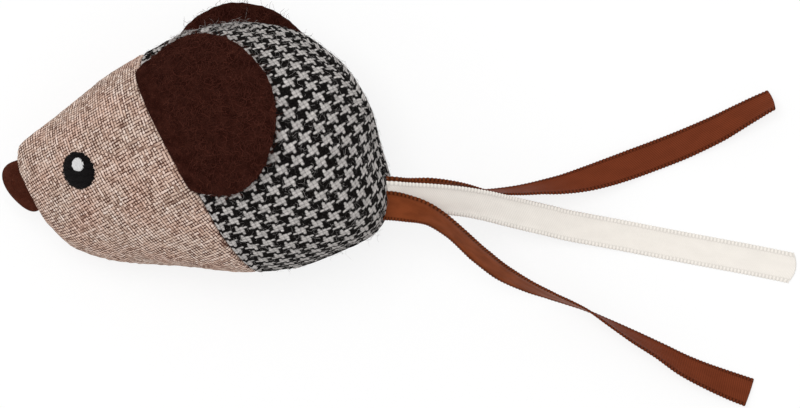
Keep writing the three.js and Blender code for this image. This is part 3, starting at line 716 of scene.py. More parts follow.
# each row: steps right and up from the exit, height as a share of the exit's, and roll in degrees
ribbons = {
    "ribbon_upper": {
        "width": 6.5, "layer": -1, "across": 1.2, "roll": 12, "hingeAt": 6, "bend": 4, "endBow": 0.35,
        "slot": "brown_satin", "looks": (brownFace, brownBack),
        "route": [
            (3.2, 1.1, 0.93, 17), (7.7, 1.4, 0.87, 32), (12, 1.5, 0.755, 54), (16.3, 1.4, 0.585, 76),
            (21.3, 1.15, 0.425, 97), (26.6, 1.4, 0.31, 106), (31.7, 2.05, 0.255, 115), (36.9, 2.8, 0.21, 130),
            (42, 4, 0.17, 148), (47.2, 5.6, 0.112, 163), (52.3, 7.4, 0.068, 175), (57.4, 9.3, 0.042, 177),
            (61.5, 10.9, 0.036, 175), (65.2, 12.5, 0.046, 167), (70.3, 14.9, 0.066, 158),
            (75.4, 17.7, 0.098, 145), (79.5, 19.9, 0.118, 136), (81.7, 21, 0.128, 132)],
    },
    "ribbon_cream": {
        "width": 6.75, "layer": 0, "across": 0.2, "roll": 12, "hingeAt": 4.75, "bend": 4, "endBow": 1.1,
        "slot": "cream_satin", "looks": (creamFace, creamBack),
        "route": [
            (3.4, -0.1, 0.965, 10), (7.7, -0.3, 0.915, 12), (12, -0.6, 0.83, 16), (16.3, -1.1, 0.72, 17),
            (20.6, -1.9, 0.595, 12), (24.9, -2.95, 0.465, 6), (29.1, -3.95, 0.345, 2),
            (33.4, -4.95, 0.245, 0), (37.7, -6, 0.165, 0), (42, -6.8, 0.105, 0), (46.3, -7.6, 0.062, 0),
            (50.6, -8.4, 0.034, 0), (54.9, -9.25, 0.02, 0), (62, -10.6, 0.0155, 0), (70, -12.1, 0.0155, 0),
            (78, -13.6, 0.0155, 0), (85.9, -15.2, 0.0155, 0)],
    },
    "ribbon_lower": {
        "width": 6.5, "layer": 1, "across": -1.7, "roll": 10, "hingeAt": 1.8, "bend": 2.5, "endBow": 0.1,
        "slot": "brown_satin", "looks": (brownFace, brownBack),
        "route": [
            (3.4, -2.4, 1.03, 24), (6.5, -3.2, 1.015, 38), (9.3, -4.5, 0.975, 49), (13.7, -7.7, 0.865, 56),
            (18.9, -12.4, 0.69, 53), (24, -16.3, 0.525, 56), (29.2, -19.1, 0.395, 67),
            (34.3, -21.2, 0.285, 77), (38.2, -22.7, 0.22, 82), (42, -24.3, 0.18, 88),
            (47.2, -27.2, 0.162, 101), (52.3, -30.1, 0.15, 113), (57.4, -32.9, 0.138, 121),
            (62.6, -36, 0.118, 135), (67.7, -38.4, 0.096, 146), (72.9, -40.5, 0.062, 160),
            (77, -42, 0.042, 169)],
    },
}


def routeCurve(points):  # a smooth line through the points; place counts points from 0
    points = np.asarray(points, float)
    ends = np.concatenate([[2 * points[0] - points[1]], points, [2 * points[-1] - points[-2]]])
    chord = np.linalg.norm(np.diff(ends, axis=0), axis=1) ** 0.5

    def at(place):
        place = np.clip(np.asarray(place, float), 0, len(points) - 1)
        k = np.minimum(place.astype(int), len(points) - 2)
        w = (place - k)[:, None]
        p0, p1, p2, p3 = ends[k], ends[k + 1], ends[k + 2], ends[k + 3]
        d0, d1, d2 = chord[k][:, None], chord[k + 1][:, None], chord[k + 2][:, None]
        leave = ((p1 - p0) / d0 - (p2 - p0) / (d0 + d1) + (p2 - p1) / d1) * d1
        arrive = ((p2 - p1) / d1 - (p3 - p1) / (d1 + d2) + (p3 - p2) / d2) * d1
        return (p1 + leave * w + (-3 * p1 + 3 * p2 - 2 * leave - arrive) * w**2
                + (2 * p1 - 2 * p2 + leave + arrive) * w**3)

    return at


exitX = ribbonSize["exitShare"] * bodyLength
exitToy = np.array([exitX, ribbonSize["exitHeight"], 0])
exitTurn = math.radians(stuffed["turn"])
exitOut = np.array([math.cos(exitTurn), -math.sin(exitTurn), 0])
exitUp = np.array([math.sin(exitTurn), math.cos(exitTurn), 0])


def makeRibbon(name, ribbon):
    seat = exitToy + exitUp * ribbon["across"]
    seat[2] = ribbon["layer"] * ribbonSize["layer"]
    exitRow = toRow(exitToy) / mm
    inside, start = toRow(seat - exitOut * ribbonSize["rootDepth"]) / mm, toRow(seat) / mm
    route = [(exitRow[0] + right, exitRow[1] + up, exitRow[2] * high)
             for right, up, high, _ in ribbon["route"]]
    points = [inside, start, *route]
    rolls = [ribbon["roll"], ribbon["roll"], *[row[3] for row in ribbon["route"]]]
    curve = routeCurve(points)
    fine = np.linspace(0, len(points) - 1, 4000)
    run = np.concatenate([[0], np.cumsum(np.linalg.norm(np.diff(curve(fine), axis=0), axis=1))])
    reach = np.arange(0, run[-1], ribbonSize["step"])
    place = np.interp(reach, run, fine)
    middle = curve(place)
    tangent = curve(np.minimum(place + 0.01, fine[-1])) - curve(np.maximum(place - 0.01, 0))
    tangent /= np.linalg.norm(tangent, axis=1, keepdims=True)
    level = np.cross([0, 0, 1.0], tangent)
    level /= np.linalg.norm(level, axis=1, keepdims=True)
    roll = np.radians(np.interp(place, np.arange(len(rolls)), rolls))[:, None]
    side = level * np.cos(roll) + np.cross(tangent, level) * np.sin(roll)
    face = np.cross(tangent, side)
    columns = np.array(ribbonSize["columns"])
    half = ribbon["width"] / 2
    outside = np.sign(columns) * (np.abs(columns) > ribbonSize["beadFrom"])
    atEdge = np.abs(columns) > ribbonSize["selvedgeFrom"]
    bead = (0.5 + 0.5 * np.cos(math.tau * reach / edgeBeadPitch))[:, None]
    width = columns[None] * (half - ribbonSize["bead"]) + outside[None] * ribbonSize["bead"] * bead
    layers = np.where(atEdge, ribbonSize["selvedgeThick"], 1.0)
    layers = np.where(np.abs(columns) > ribbonSize["rimFrom"], ribbonSize["rimThick"], layers)
    thick = layers[None] * ribbonSize["thickness"] / 2 * (1 + atEdge[None] * ribbonSize["beadThick"] * bead)
    tail = np.clip((reach - reach[-1]) / ribbonSize["endReach"] + 1, 0, 1) ** 2
    bow = tail[:, None] * (1 - columns[None] ** 2) * ribbon["endBow"]
    flat = middle[:, None] + side[:, None] * width[..., None] + tangent[:, None] * bow[..., None]
    upper, lower = flat + face[:, None] * thick[..., None], flat - face[:, None] * thick[..., None]
    vertices, faces = closedSheet(upper * mm, lower * mm)
    vertices[:, 2] = np.maximum(vertices[:, 2], ribbonSize["floorGap"] * mm)
    cloth = np.stack([np.broadcast_to(reach[:, None], width.shape), width, 0 * width], -1).reshape(-1, 3)
    made = makeMesh(name, vertices, faces, np.concatenate([cloth, cloth]), ribbon["looks"][0])
    made.data.materials.append(ribbon["looks"][1])
    count = (len(reach) - 1) * (len(columns) - 1)
    made.data.polygons.foreach_set("material_index", [0] * count + [1] * (len(faces) - count))
    hinge = curve(np.array([ribbon["hingeAt"]], float))[0]
    heading = curve(np.array([ribbon["hingeAt"] + 0.05]))[0] - hinge
    heading *= ribbon["bend"] / np.linalg.norm(heading)
    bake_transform(made)
    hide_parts(name + "_root", name + "_tip")
    print(f"{name}: {run[-1]:.1f} mm long")


for name, ribbon in ribbons.items():
    makeRibbon(name, ribbon)

# cover panels

panelShape = {
    "columns": 74, "thickness": 0.75, "seamHalfGap": 0.12, "neckRoll": 0.85, "sideRoll": 0.6,
    "edgeReach": 2.2, "noseRoll": 0.5, "noseRows": 5, "noseReach": 2.5, "snoutShort": 0.8,
    "cornerTop": 2.2, "cornerBottom": 3.0, "snoutReach": 9, "tailReach": 2,
    "pucker": 0.2, "sidePucker": 0.14, "puckerReach": 2.6, "neckPuckers": 3.4, "sidePuckers": 4.2,
    "lump": 0.22, "lumpSize": 13, "floorGap": 0.12,
    "earParting": 0.5, "partingReach": 0.62, "bowReach": 14, "pull": 0.4, "pullAt": 47, "pullReach": 9,
    "pressure": 26.0, "swellCap": 0.45, "inset": 0.42, "simScale": 20, "simFrames": 18, "slack": -0.012,
}
snoutTip = headLength - panelShape["noseRoll"] - panelShape["snoutShort"]
farEar = {
    "radius": 16.3, "offset": (8.8, 17.9), "thickness": 1.5, "hinge": 1.5, "turn": -3.3, "overlap": 0.5,
    "clearance": 0.25, "skirt": 1.2, "rings": 26, "spokes": 120, "floorGap": 0.05, "lump": 0.12,
    "lumpSize": 11, "bendReach": (-1.2, 1.8),
}
nearEar = {
    "radius": 16, "long": 16.8, "centre": 9.6, "angle": 60.7, "lean": 0.06, "rise": 1.0, "flare": 2.2,
    "thickness": 1.5, "rootDepth": 2.4, "fold": 0.95, "foot": 0.15, "rings": 30, "spokes": 132,
    "lump": 0.18, "lumpSize": 9, "hingeRise": 1.15, "bendReach": 3.5,
}
noseShape = {
    "length": 3.9, "top": 17.3, "bottom": 5.4, "standoff": 0.1, "rootDepth": 2.6, "thickness": 1.5,
    "rings": 18, "spokes": 84, "plump": 0.25, "sway": 0.15, "swaySize": 6, "hinge": 0.6,
    "bendReach": (0.5, -1.3),
}
earAngle = math.radians(nearEar["angle"])
earSpread = (stuffed["neckHalfHeight"] + stuffed["neckHalfWidth"]) / 2
lyingShift = toyOrigin[:2]  # the neck's middle in plan
farCentre = lyingShift + np.array(farEar["offset"])
lobeTurn = math.radians(farEar["turn"])
lobeAxis = np.array([-math.sin(lobeTurn), math.cos(lobeTurn)])
seamAxis = np.array([math.cos(exitTurn), math.sin(exitTurn)])
farSeam = (toRow(skin(0.0, -earAngle, 0.0)) / mm)[:2]


def roll(distance, radius):
    inside = np.maximum(radius - distance, 0)
    return -radius + np.sqrt(np.maximum(radius**2 - inside**2, 0))


def ripple(arc, wavelength):
    total = np.zeros_like(arc)
    for _ in range(5):
        wave = wavelength * draw.uniform(0.7, 1.5)
        total += np.sin(arc * math.tau / wave + draw.uniform(0, math.tau)) / 2.2
    return total


def runLength(grid, axis):
    steps = np.linalg.norm(np.diff(grid, axis=axis), axis=-1)
    start = np.zeros_like(np.take(steps, [0], axis=axis))
    return np.concatenate([start, np.cumsum(steps, axis=axis)], axis=axis)


def gridMesh(name, grid):
    data = bpy.data.meshes.new(name)
    data.from_pydata([tuple(p) for p in grid.reshape(-1, 3)], [], gridFaces(*grid.shape[:2]).tolist())
    return data


def layFlat(grid):  # the flat cut of a curved panel, with as little stretch as can be
    rows, columns = grid.shape[:2]
    data = gridMesh("cutting", grid)
    work = addObject("cutting", data)
    data.uv_layers.new(name="cut")
    for other in bpy.context.selected_objects:
        other.select_set(False)
    bpy.context.view_layer.objects.active = work
    work.select_set(True)
    bpy.ops.object.mode_set(mode="EDIT")
    bpy.ops.mesh.select_all(action="SELECT")
    bpy.ops.uv.unwrap(method="MINIMUM_STRETCH", margin=0.0)
    bpy.ops.object.mode_set(mode="OBJECT")
    place, corner = np.zeros(len(data.loops) * 2, np.float32), np.zeros(len(data.loops), np.int32)
    data.uv_layers["cut"].uv.foreach_get("vector", place)
    data.loops.foreach_get("vertex_index", corner)
    flat = np.zeros((rows * columns, 2))
    flat[corner] = place.reshape(-1, 2)
    bpy.data.objects.remove(work)
    bpy.data.meshes.remove(data)
    flat = flat.reshape(rows, columns, 2)
    middle = columns // 2
    near = int(np.argmin(np.abs(runLength(grid, 0)[:, middle] - 14)))
    flat = flat - flat[0, middle]
    along = flat[near, middle] - flat[0, middle]
    around = flat[near // 2, middle + 8] - flat[near // 2, middle]
    flat = flat * (runLength(grid, 0)[near, middle] / np.linalg.norm(along))
    heading = math.atan2(along[1], along[0])
    flat = flat @ turnAbout(2, -math.degrees(heading))[:2, :2].T
    if along[0] * around[1] - along[1] * around[0] < 0:
        flat[..., 1] *= -1
    return flat


def floorUnder(points):  # lowest height for the cover, over the floor and over the far ear
    plan = points[..., :2] / mm
    behind = (plan - farSeam) @ seamAxis + farEar["overlap"]
    reach = np.minimum(farEar["radius"] - np.linalg.norm(plan - farCentre, axis=-1), behind)
    step = np.clip(reach / farEar["skirt"] + 1, 0, 1)
    over = (farEar["thickness"] + farEar["clearance"]) * step * step * (3 - 2 * step)
    return (panelShape["floorGap"] + over) * mm


def swell(grid, held):  # cloth simulation: the panel is held at its seams and filled from inside
    rows, columns = grid.shape[:2]
    scale = panelShape["simScale"] * mm
    data = gridMesh("swelling", grid * scale)
    work = addObject("swelling", data)
    pin = work.vertex_groups.new(name="seam")
    for k, weight in enumerate(held.ravel()):
        pin.add([k], float(weight), "REPLACE")
    cloth = work.modifiers.new("cloth", "CLOTH")
    rules = cloth.settings
    rules.quality, rules.mass, rules.vertex_group_mass = 6, 0.12, "seam"
    rules.tension_stiffness = rules.compression_stiffness = 18
    rules.shear_stiffness, rules.bending_stiffness = 6, 0.6
    rules.use_pressure, rules.uniform_pressure_force = True, panelShape["pressure"]
    rules.shrink_min = panelShape["slack"]
    rules.effector_weights.gravity = 0
    cloth.collision_settings.use_collision = False
    cloth.point_cache.frame_start, cloth.point_cache.frame_end = 1, panelShape["simFrames"]
    for step in range(1, panelShape["simFrames"] + 1):
        scene.frame_set(step)
    shaped = work.evaluated_get(bpy.context.evaluated_depsgraph_get())
    moved = np.zeros(rows * columns * 3, np.float32)
    shaped.data.vertices.foreach_get("co", moved)
    moved = moved.reshape(rows, columns, 3) / scale
    bpy.data.objects.remove(work)
    bpy.data.meshes.remove(data)
    scene.frame_set(1)
    return moved - grid


def seamBow(angle):  # how far the neck seam strays towards the tail, round the neck
    angle = np.abs(angle)
    return 0.5 * (1 - np.cos(angle)) - 0.65 * np.where(angle < math.tau / 3, np.sin(3 * angle), 0)


def panelGrid(isHead, side):
    near = np.array([0, 0.08, 0.2, 0.36, 0.56, 0.8, 1.1, 1.5, 2.0, 2.7, 3.5])
    if isHead:
        distance = np.concatenate([near, np.linspace(4.4, snoutTip, 40)])
        x = -distance
    else:
        far = np.linspace(math.asin(4.3 / bodyLength), 1.53, 48)  # closer together at the round rear
        distance = np.concatenate([near, bodyLength * np.sin(far)])
        x = distance
    t = np.linspace(0, 1, panelShape["columns"])
    angle = math.pi * (t - 0.5 * np.sin(math.tau * t) / math.tau)
    shift = np.abs(angle - earAngle) / panelShape["partingReach"]  # the seam parts where an ear is sewn in
    parting = panelShape["earParting"] * np.clip(1.2 - shift**2, 0, 1)
    fade = np.exp(-distance / 1.5)
    x = x[:, None] + (-1 if isHead else 1) * (panelShape["seamHalfGap"] + parting[None]) * fade[:, None]
    x = x + seamBow(angle)[None] * np.exp(-((distance / panelShape["bowReach"]) ** 2))[:, None]
    x = np.clip(x, -headLength, bodyLength - 0.02)
    angle = np.broadcast_to(angle[None] * side, x.shape)
    return x, angle


def roundSnout(points):  # takes the corners off the snout's blunt end
    x, y = points[..., 0].copy(), points[..., 1].copy()
    edges = ((1, backAt, panelShape["cornerTop"]), (-1, bellyAt, panelShape["cornerBottom"]))
    for sign, line, corner in edges:
        ahead = np.maximum(corner - (x + snoutTip), 0)
        beyond = np.maximum(corner - sign * (line(x) - y), 0)
        pull = 1 - corner / np.maximum(np.hypot(ahead, beyond), corner)
        x, y = x + ahead * pull, y - sign * beyond * pull
    return np.stack([x, y, points[..., 2]], -1)


def rollToNose(outer, inner, flat, fromSide, side):  # the front edge rolls in to the nose
    rows = panelShape["noseRows"]
    even = np.clip(fromSide / panelShape["noseReach"], 0, 1)
    front = []
    for k in range(1, rows + 1):
        share = math.pi / 2 * k / rows
        row = outer[-1].copy()
        outside = np.maximum(row[:, 1] - noseShape["top"], noseShape["bottom"] - row[:, 1])
        target = (panelShape["seamHalfGap"] + 0.7 * np.clip(1 - outside / 0.8, 0, 1)) * side
        row[:, 0] -= panelShape["noseRoll"] * math.sin(share) * even * even * (3 - 2 * even)
        row[:, 2] = target + (row[:, 2] - target) * math.cos(share) if k < rows else target
        row[:, 2] = np.where(np.abs(outer[-1][:, 2]) < np.abs(target), outer[-1][:, 2], row[:, 2])
        front.append(row)
    extra = np.array(front)
    reach = runLength(np.concatenate([outer[-1:], extra]), 0)[1:]
    heading = flat[-1] - flat[-3]
    heading /= np.linalg.norm(heading, axis=-1, keepdims=True)
    back = extra.copy()
    back[..., 0] += panelShape["thickness"]
    return (np.concatenate([outer, extra]), np.concatenate([inner, back]),
            np.concatenate([flat, flat[-1] + heading * reach[..., None]]))


def seamsAndLumps(base, fromNeck, around, fromSide, edge, settle):  # height off the plain form
    offset = roll(fromNeck, panelShape["neckRoll"]) + roll(fromSide, panelShape["sideRoll"])
    atNeck, atSide = [np.exp(-distance / panelShape["puckerReach"]) for distance in (fromNeck, fromSide)]
    offset += panelShape["pucker"] * ripple(around, panelShape["neckPuckers"]) * atNeck * edge * settle
    offset += panelShape["sidePucker"] * ripple(fromNeck, panelShape["sidePuckers"]) * atSide * edge * settle
    offset += panelShape["lump"] * lumps(base, panelShape["lumpSize"]) * edge * settle
    return offset - panelShape["inset"] * (0.5 + 0.5 * edge)


def makePanel(name, node, isHead, side, look):
    x, angle = panelGrid(isHead, side)
    base = surface(x, angle)
    settle = np.ones_like(x)
    if isHead:
        base = roundSnout(base)
        settle = np.clip((x + snoutTip) / panelShape["snoutReach"], 0, 1)
    normal = outward(x, angle)
    fromNeck = runLength(base, 0)
    around = runLength(base, 1)
    fromSide = np.minimum(around, around[:, -1:] - around)
    flat = layFlat(base)
    if not isHead:  # the wool is pulled towards the tail
        reach = panelShape["pullReach"]
        flat[..., 0] -= panelShape["pull"] * reach * np.tanh((fromNeck - panelShape["pullAt"]) / reach)
    flat = flat @ turnAbout(2, finishes["linenTurn" if isHead else "woolTurn"])[:2, :2].T
    edge = np.clip(np.minimum(fromNeck, fromSide) / panelShape["edgeReach"], 0, 1)
    moved = np.zeros_like(base)
    moved = swell(base, 1 - edge**2)
    size = np.linalg.norm(moved, axis=-1, keepdims=True)
    moved *= np.minimum(1, panelShape["swellCap"] / (size + 1e-9))
    print(f"{name}: swelled by up to {min(size.max(), panelShape['swellCap']):.2f} mm")
    offset = seamsAndLumps(base, fromNeck, around, fromSide, edge, settle)
    if not isHead:
        offset *= np.clip((bodyLength - x) / panelShape["tailReach"], 0, 1)
    rise = (moved * normal).sum(-1) + offset
    outer = base + moved + normal * offset[..., None]
    inner = outer - normal * panelShape["thickness"]
    outer[..., 2] = np.where(side * outer[..., 2] < 0.1, 0.1 * side, outer[..., 2])
    inner[..., 2] = np.where(side * inner[..., 2] < 0.06, 0.06 * side, inner[..., 2])
    if isHead:
        outer, inner, flat = rollToNose(outer, inner, flat, fromSide[-1], side)
    outer, inner = toRow(outer), toRow(inner)
    for sheet, gap in ((outer, 0), (inner, 0.4 * mm)):
        sheet[..., 2] = np.maximum(sheet[..., 2], floorUnder(sheet) + gap)
    points, faces = closedSheet(outer, inner)
    cloth = np.concatenate([flat, np.zeros((*flat.shape[:2], 1))], -1).reshape(-1, 3)
    made = makeMesh(name, points, faces, np.concatenate([cloth, cloth]), look)
    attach(made, "body")
    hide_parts(node)
    middle = panelShape["columns"] // 2
    return {"outer": outer, "rows": np.abs(x[:, middle]), "columns": np.abs(angle[0]), "rise": rise}


def riseAt(name, x, angle):  # how far a finished panel stands off the plain form
    cover = covers[name]
    r = np.interp(np.abs(x), cover["rows"], np.arange(len(cover["rows"])))
    c = np.interp(np.abs(angle), cover["columns"], np.arange(len(cover["columns"])))
    i = np.minimum(r.astype(int), len(cover["rows"]) - 2)
    j = np.minimum(c.astype(int), len(cover["columns"]) - 2)
    r, c, grid = r - i, c - j, cover["rise"]
    before, after = [grid[row, j] * (1 - c) + grid[row, j + 1] * c for row in (i, i + 1)]
    return before * (1 - r) + after * r


covers = {}
for name, node, isHead, side, look, slot in (
    ("head_left", "head_panel_left", True, 1, linen, "linen"),
    ("head_right", "head_panel_right", True, -1, linen, "linen"),
    ("body_left", "body_panel_left", False, 1, wool, "houndstooth_wool"),
    ("body_right", "body_panel_right", False, -1, wool, "houndstooth_wool"),
):
    covers[name] = makePanel(name, node, isHead, side, look)
print("cover: four panels")

# felt ears and nose

def rimDisc(reachAt, rings, spokes, rim):
    # flat polar layout with a rounded rim: distance out, angle, and half thickness share
    angle = np.linspace(0, math.tau, spokes, endpoint=False)
    reach = reachAt(angle)
    bend = np.linspace(0, math.pi / 2, 7)[1:, None]
    flat = np.maximum(reach - rim, 0.01)[None]
    inner = np.linspace(0, 1, rings - len(bend))[:, None]
    out = np.concatenate([inner * flat, flat + rim * np.sin(bend)])
    half = np.ones((rings, spokes))
    half[-len(bend):] = np.cos(bend)
    half[-1] = 0
    return out, np.broadcast_to(angle[None], out.shape), half


def cutShort(long, radius, toSeam):  # a round ear cut straight across towards the seam
    def reach(angle):
        oval = ((np.cos(angle) / long) ** 2 + (np.sin(angle) / radius) ** 2) ** -0.5
        limit = np.where(np.cos(angle) < -0.001, toSeam / np.maximum(-np.cos(angle), 0.001), 1e6)
        waves = ((0.006, 5, 1), (0.004, 11, 0), (0.003, 29, 2), (0.003, 47, 0))  # uneven scissor cuts
        wave = 1 + sum(size * np.sin(count * angle + start) for size, count, start in waves)
        return ((oval * wave) ** -7.0 + limit**-7.0) ** (-1 / 7)
    return reach


def makeNearEar():
    rim = nearEar["thickness"] / 2
    outline = cutShort(nearEar["long"], nearEar["radius"], nearEar["centre"] + nearEar["rootDepth"])
    out, angle, half = rimDisc(outline, nearEar["rings"], nearEar["spokes"], rim)
    run = nearEar["centre"] + out * np.cos(angle)
    across = out * np.sin(angle)
    fold, foot = nearEar["fold"], nearEar["foot"]
    bend = np.clip(run / fold, 0, math.pi / 2)
    heading = math.pi / 2 - bend
    past = np.maximum(run - fold * math.pi / 2, 0)
    x = fold * (1 - np.cos(bend)) + past
    height = foot + np.minimum(run, 0) + fold * np.sin(bend)
    share = past / (nearEar["centre"] + nearEar["long"])
    height = height + nearEar["rise"] * share + nearEar["flare"] * share * (across / nearEar["radius"]) ** 2
    flatPoints = np.stack([run, across, 0 * run], -1)
    height = height + nearEar["lump"] * lumps(flatPoints, nearEar["lumpSize"]) * np.clip(past / 6, 0, 1)
    around = earAngle - (across + nearEar["lean"] * past) / earSpread
    height = height + riseAt("body_left", x, around) * np.clip(past / 2, 0, 1)
    x = x + seamBow(around) * np.exp(-((x / panelShape["bowReach"]) ** 2))
    sides = []
    for sign in (1, -1):
        thick = sign * rim * half
        sides.append(skin(x - thick * np.sin(heading), around, height + thick * np.cos(heading)))
    points, faces = closedDisc(toRow(sides[0]), toRow(sides[1]))
    cloth, _ = closedDisc(flatPoints, flatPoints)
    made = makeMesh("near_ear", points, faces, cloth, earFelt)
    hinge = np.array(skin(0.0, earAngle, nearEar["hingeRise"]))
    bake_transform(made)
    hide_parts("ear_left_root", "ear_left")
    return toRow(sides[0])


def makeFarEar():
    rim = farEar["thickness"] / 2
    toSeam = float((farCentre - farSeam) @ seamAxis) + farEar["overlap"]
    outline = cutShort(farEar["radius"], farEar["radius"], toSeam)
    out, angle, half = rimDisc(outline, farEar["rings"], farEar["spokes"], rim)
    run, across = out * np.cos(angle), out * np.sin(angle)
    sideAxis = np.array([-seamAxis[1], seamAxis[0]])
    plan = farCentre + run[..., None] * seamAxis + across[..., None] * sideAxis
    flatPoints = np.stack([run, across, 0 * run], -1)
    free = np.clip((plan[..., 1] - farCentre[1]) / 8, 0, 1)
    lift = farEar["floorGap"] + farEar["lump"] * np.maximum(lumps(flatPoints, farEar["lumpSize"]), 0) * free
    sides = [np.concatenate([plan, (rim + sign * rim * half + lift)[..., None]], -1) * mm for sign in (1, -1)]
    points, faces = closedDisc(*sides)
    cloth, _ = closedDisc(flatPoints, flatPoints)
    made = makeMesh("far_ear", points, faces, cloth, earFelt)
    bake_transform(made)
    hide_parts("ear_right_root", "ear_right")
    return sides[0]


def makeNose():
    top, bottom, long = noseShape["top"], noseShape["bottom"], noseShape["length"]
    x0 = -headLength - noseShape["standoff"]
    middle, tall = (top + bottom) / 2, top - bottom
    t = np.linspace(0, 1, 60)[:, None]
    handles = ((x0, top), (x0 - long * 1.15, top + 0.4), (x0 - long * 1.28, middle + tall * 0.08),
               (x0 - long * 0.64, bottom + tall * 0.17))
    p = [np.array(handle) for handle in handles]
    front = (1 - t) ** 3 * p[0] + 3 * (1 - t) ** 2 * t * p[1] + 3 * (1 - t) * t**2 * p[2] + t**3 * p[3]
    q = [p[3], np.array((x0 - long * 0.35, bottom)), np.array((x0, bottom))]
    under = (1 - t) ** 2 * q[0] + 2 * (1 - t) * t * q[1] + t**2 * q[2]
    back = -headLength + noseShape["rootDepth"]
    root = np.array([(back, bottom + 0.3), (back, top - 0.3)])
    line = np.concatenate([front, under[1:], np.linspace(under[-1], root[0], 12)[1:],
                           np.linspace(root[0], root[1], 24)[1:], np.linspace(root[1], front[0], 12)[1:-1]])
    centre = np.array([x0 - 0.4, middle])
    bearing = np.arctan2(line[:, 1] - centre[1], line[:, 0] - centre[0]) % math.tau
    order = np.argsort(bearing)
    distance = np.linalg.norm(line - centre, axis=1)

    def reach(angle):
        return np.interp(angle % math.tau, bearing[order], distance[order], period=math.tau)

    rim = noseShape["thickness"] / 2
    out, angle, half = rimDisc(reach, noseShape["rings"], noseShape["spokes"], rim)
    x, y = centre[0] + out * np.cos(angle), centre[1] + out * np.sin(angle)
    flatPoints = np.stack([x, y, 0 * x], -1)
    plump = 1 + noseShape["plump"] * np.clip((x0 - x) / 2, 0, 1) * half
    sway = noseShape["sway"] * lumps(flatPoints, noseShape["swaySize"])
    sides = [np.stack([x, y, sign * rim * half * plump + sway], -1) for sign in (1, -1)]
    points, faces = closedDisc(toRow(sides[0]), toRow(sides[1]))
    cloth, _ = closedDisc(flatPoints, flatPoints)
    made = makeMesh("nose", points, faces, cloth, noseFelt)
    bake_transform(made)
    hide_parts("nose_root", "nose_tab")


nearEarTop = makeNearEar()
farEarTop = makeFarEar()
makeNose()
print("felt: ears and nose")

# stitched eyes

eye = {
    "place": (-21.4, 10.6), "half": (3.65, 3.85), "tilt": -20, "rise": 0.55, "seat": 0.05, "threads": 34,
    "threadRadius": 0.135, "glintShift": (0.9, 1.1), "glintHalf": (1.25, 1.35), "glintThreads": 11,
    "glintRise": 0.28, "glintThreadRadius": 0.1755, "stitchLean": 0.2, "glintLean": 1.75, "overPadding": 0.1,
}


def onHead(px, py, side, offset):
    top, bottom = backAt(px), bellyAt(px)
    angle = np.arccos(np.clip((2 * py - top - bottom) / (top - bottom), -1, 1)) * side
    return skin(px, angle, offset + riseAt("head_left" if side > 0 else "head_right", px, angle))


def tilted(centre, right, up):
    c, s = math.cos(math.radians(eye["tilt"])), math.sin(math.radians(eye["tilt"]))
    return centre[0] + right * c - up * s, centre[1] + right * s + up * c


def stitchSpot(name, node, side, centre, half, threads, radius, base, rise, lean, look):
    rows = np.linspace(-0.985, 0.985, threads)
    steps = np.linspace(-1, 1, 15)
    lines, lengths = [], []
    c, s = math.cos(lean), math.sin(lean)
    for k, row in enumerate(rows):
        reach = math.sqrt(1 - row * row) * draw.uniform(0.96, 1.05) + 0.03
        slip = draw.uniform(-0.02, 0.02)
        a, b = steps * reach + slip, np.full_like(steps, row) + 0.02 * np.sin(steps * 3 + k)
        px, py = tilted(centre, half[0] * (a * c - b * s), half[1] * (a * s + b * c))
        crown = rise * np.sqrt(np.clip(1 - row * row * 0.8, 0, 1)) * (1 - np.abs(steps) ** 3.2)
        lines.append(onHead(px, py, side, base + crown + 0.04 * (k % 2) - 0.25 * (np.abs(steps) > 0.99)))
        lengths.append((steps + 1) * reach * half[0])
    sides = 6
    points, faces = tubes(np.array(lines), radius, sides)
    length = np.repeat(np.array(lengths)[..., None], sides, 2)
    turn = np.broadcast_to(np.arange(sides)[None, None], length.shape)
    rowNumber = np.broadcast_to(np.arange(threads)[:, None, None] * 3.1, length.shape)
    made = makeMesh(name, toRow(points), faces, np.stack([length, turn, rowNumber], -1).reshape(-1, 3), look)
    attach(made, "body")
    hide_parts(node)


def padUnder(name, side, centre, half, base, rise, look):  # padding below the satin stitches
    radius = np.linspace(0, 1, 8)[:, None]
    turn = np.linspace(0, math.tau, 40, endpoint=False)[None]
    reach = 0.97 * radius
    px, py = tilted(centre, half[0] * reach * np.cos(turn), half[1] * reach * np.sin(turn))
    dome = rise * (1 - radius**2) * np.ones_like(turn)
    upper, lower = onHead(px, py, side, base + dome), onHead(px, py, side, base - 0.35 + 0 * dome)
    lower[-1] = upper[-1]
    points, faces = closedDisc(toRow(upper), toRow(lower))
    flatPoints = np.stack([px, py, 0 * px], -1)
    flat, _ = closedDisc(flatPoints, flatPoints)
    made = makeMesh(name, points, faces, flat, look)
    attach(made, "body")


def makeEye(label, side):
    seat, over = eye["seat"], eye["overPadding"]
    padUnder(f"eye_{label}_padding", side, eye["place"], eye["half"], seat, eye["rise"],
             blackThread)
    stitchSpot(f"eye_{label}_stitches", f"eye_{label}", side, eye["place"], eye["half"], eye["threads"],
               eye["threadRadius"], seat + over, eye["rise"], eye["stitchLean"], blackThread)
    glint = [place + shift for place, shift in zip(eye["place"], eye["glintShift"])]
    seat += eye["rise"]
    padUnder(f"glint_{label}_padding", side, glint, eye["glintHalf"], seat, eye["glintRise"] + 0.12,
             whiteThread)
    stitchSpot(f"glint_{label}_stitches", f"eye_{label}_glint", side, glint, eye["glintHalf"],
               eye["glintThreads"], eye["glintThreadRadius"], seat + over, eye["glintRise"], eye["glintLean"],
               whiteThread)


makeEye("left", 1)
makeEye("right", -1)
print("eyes: stitched")

# filling inside the cover

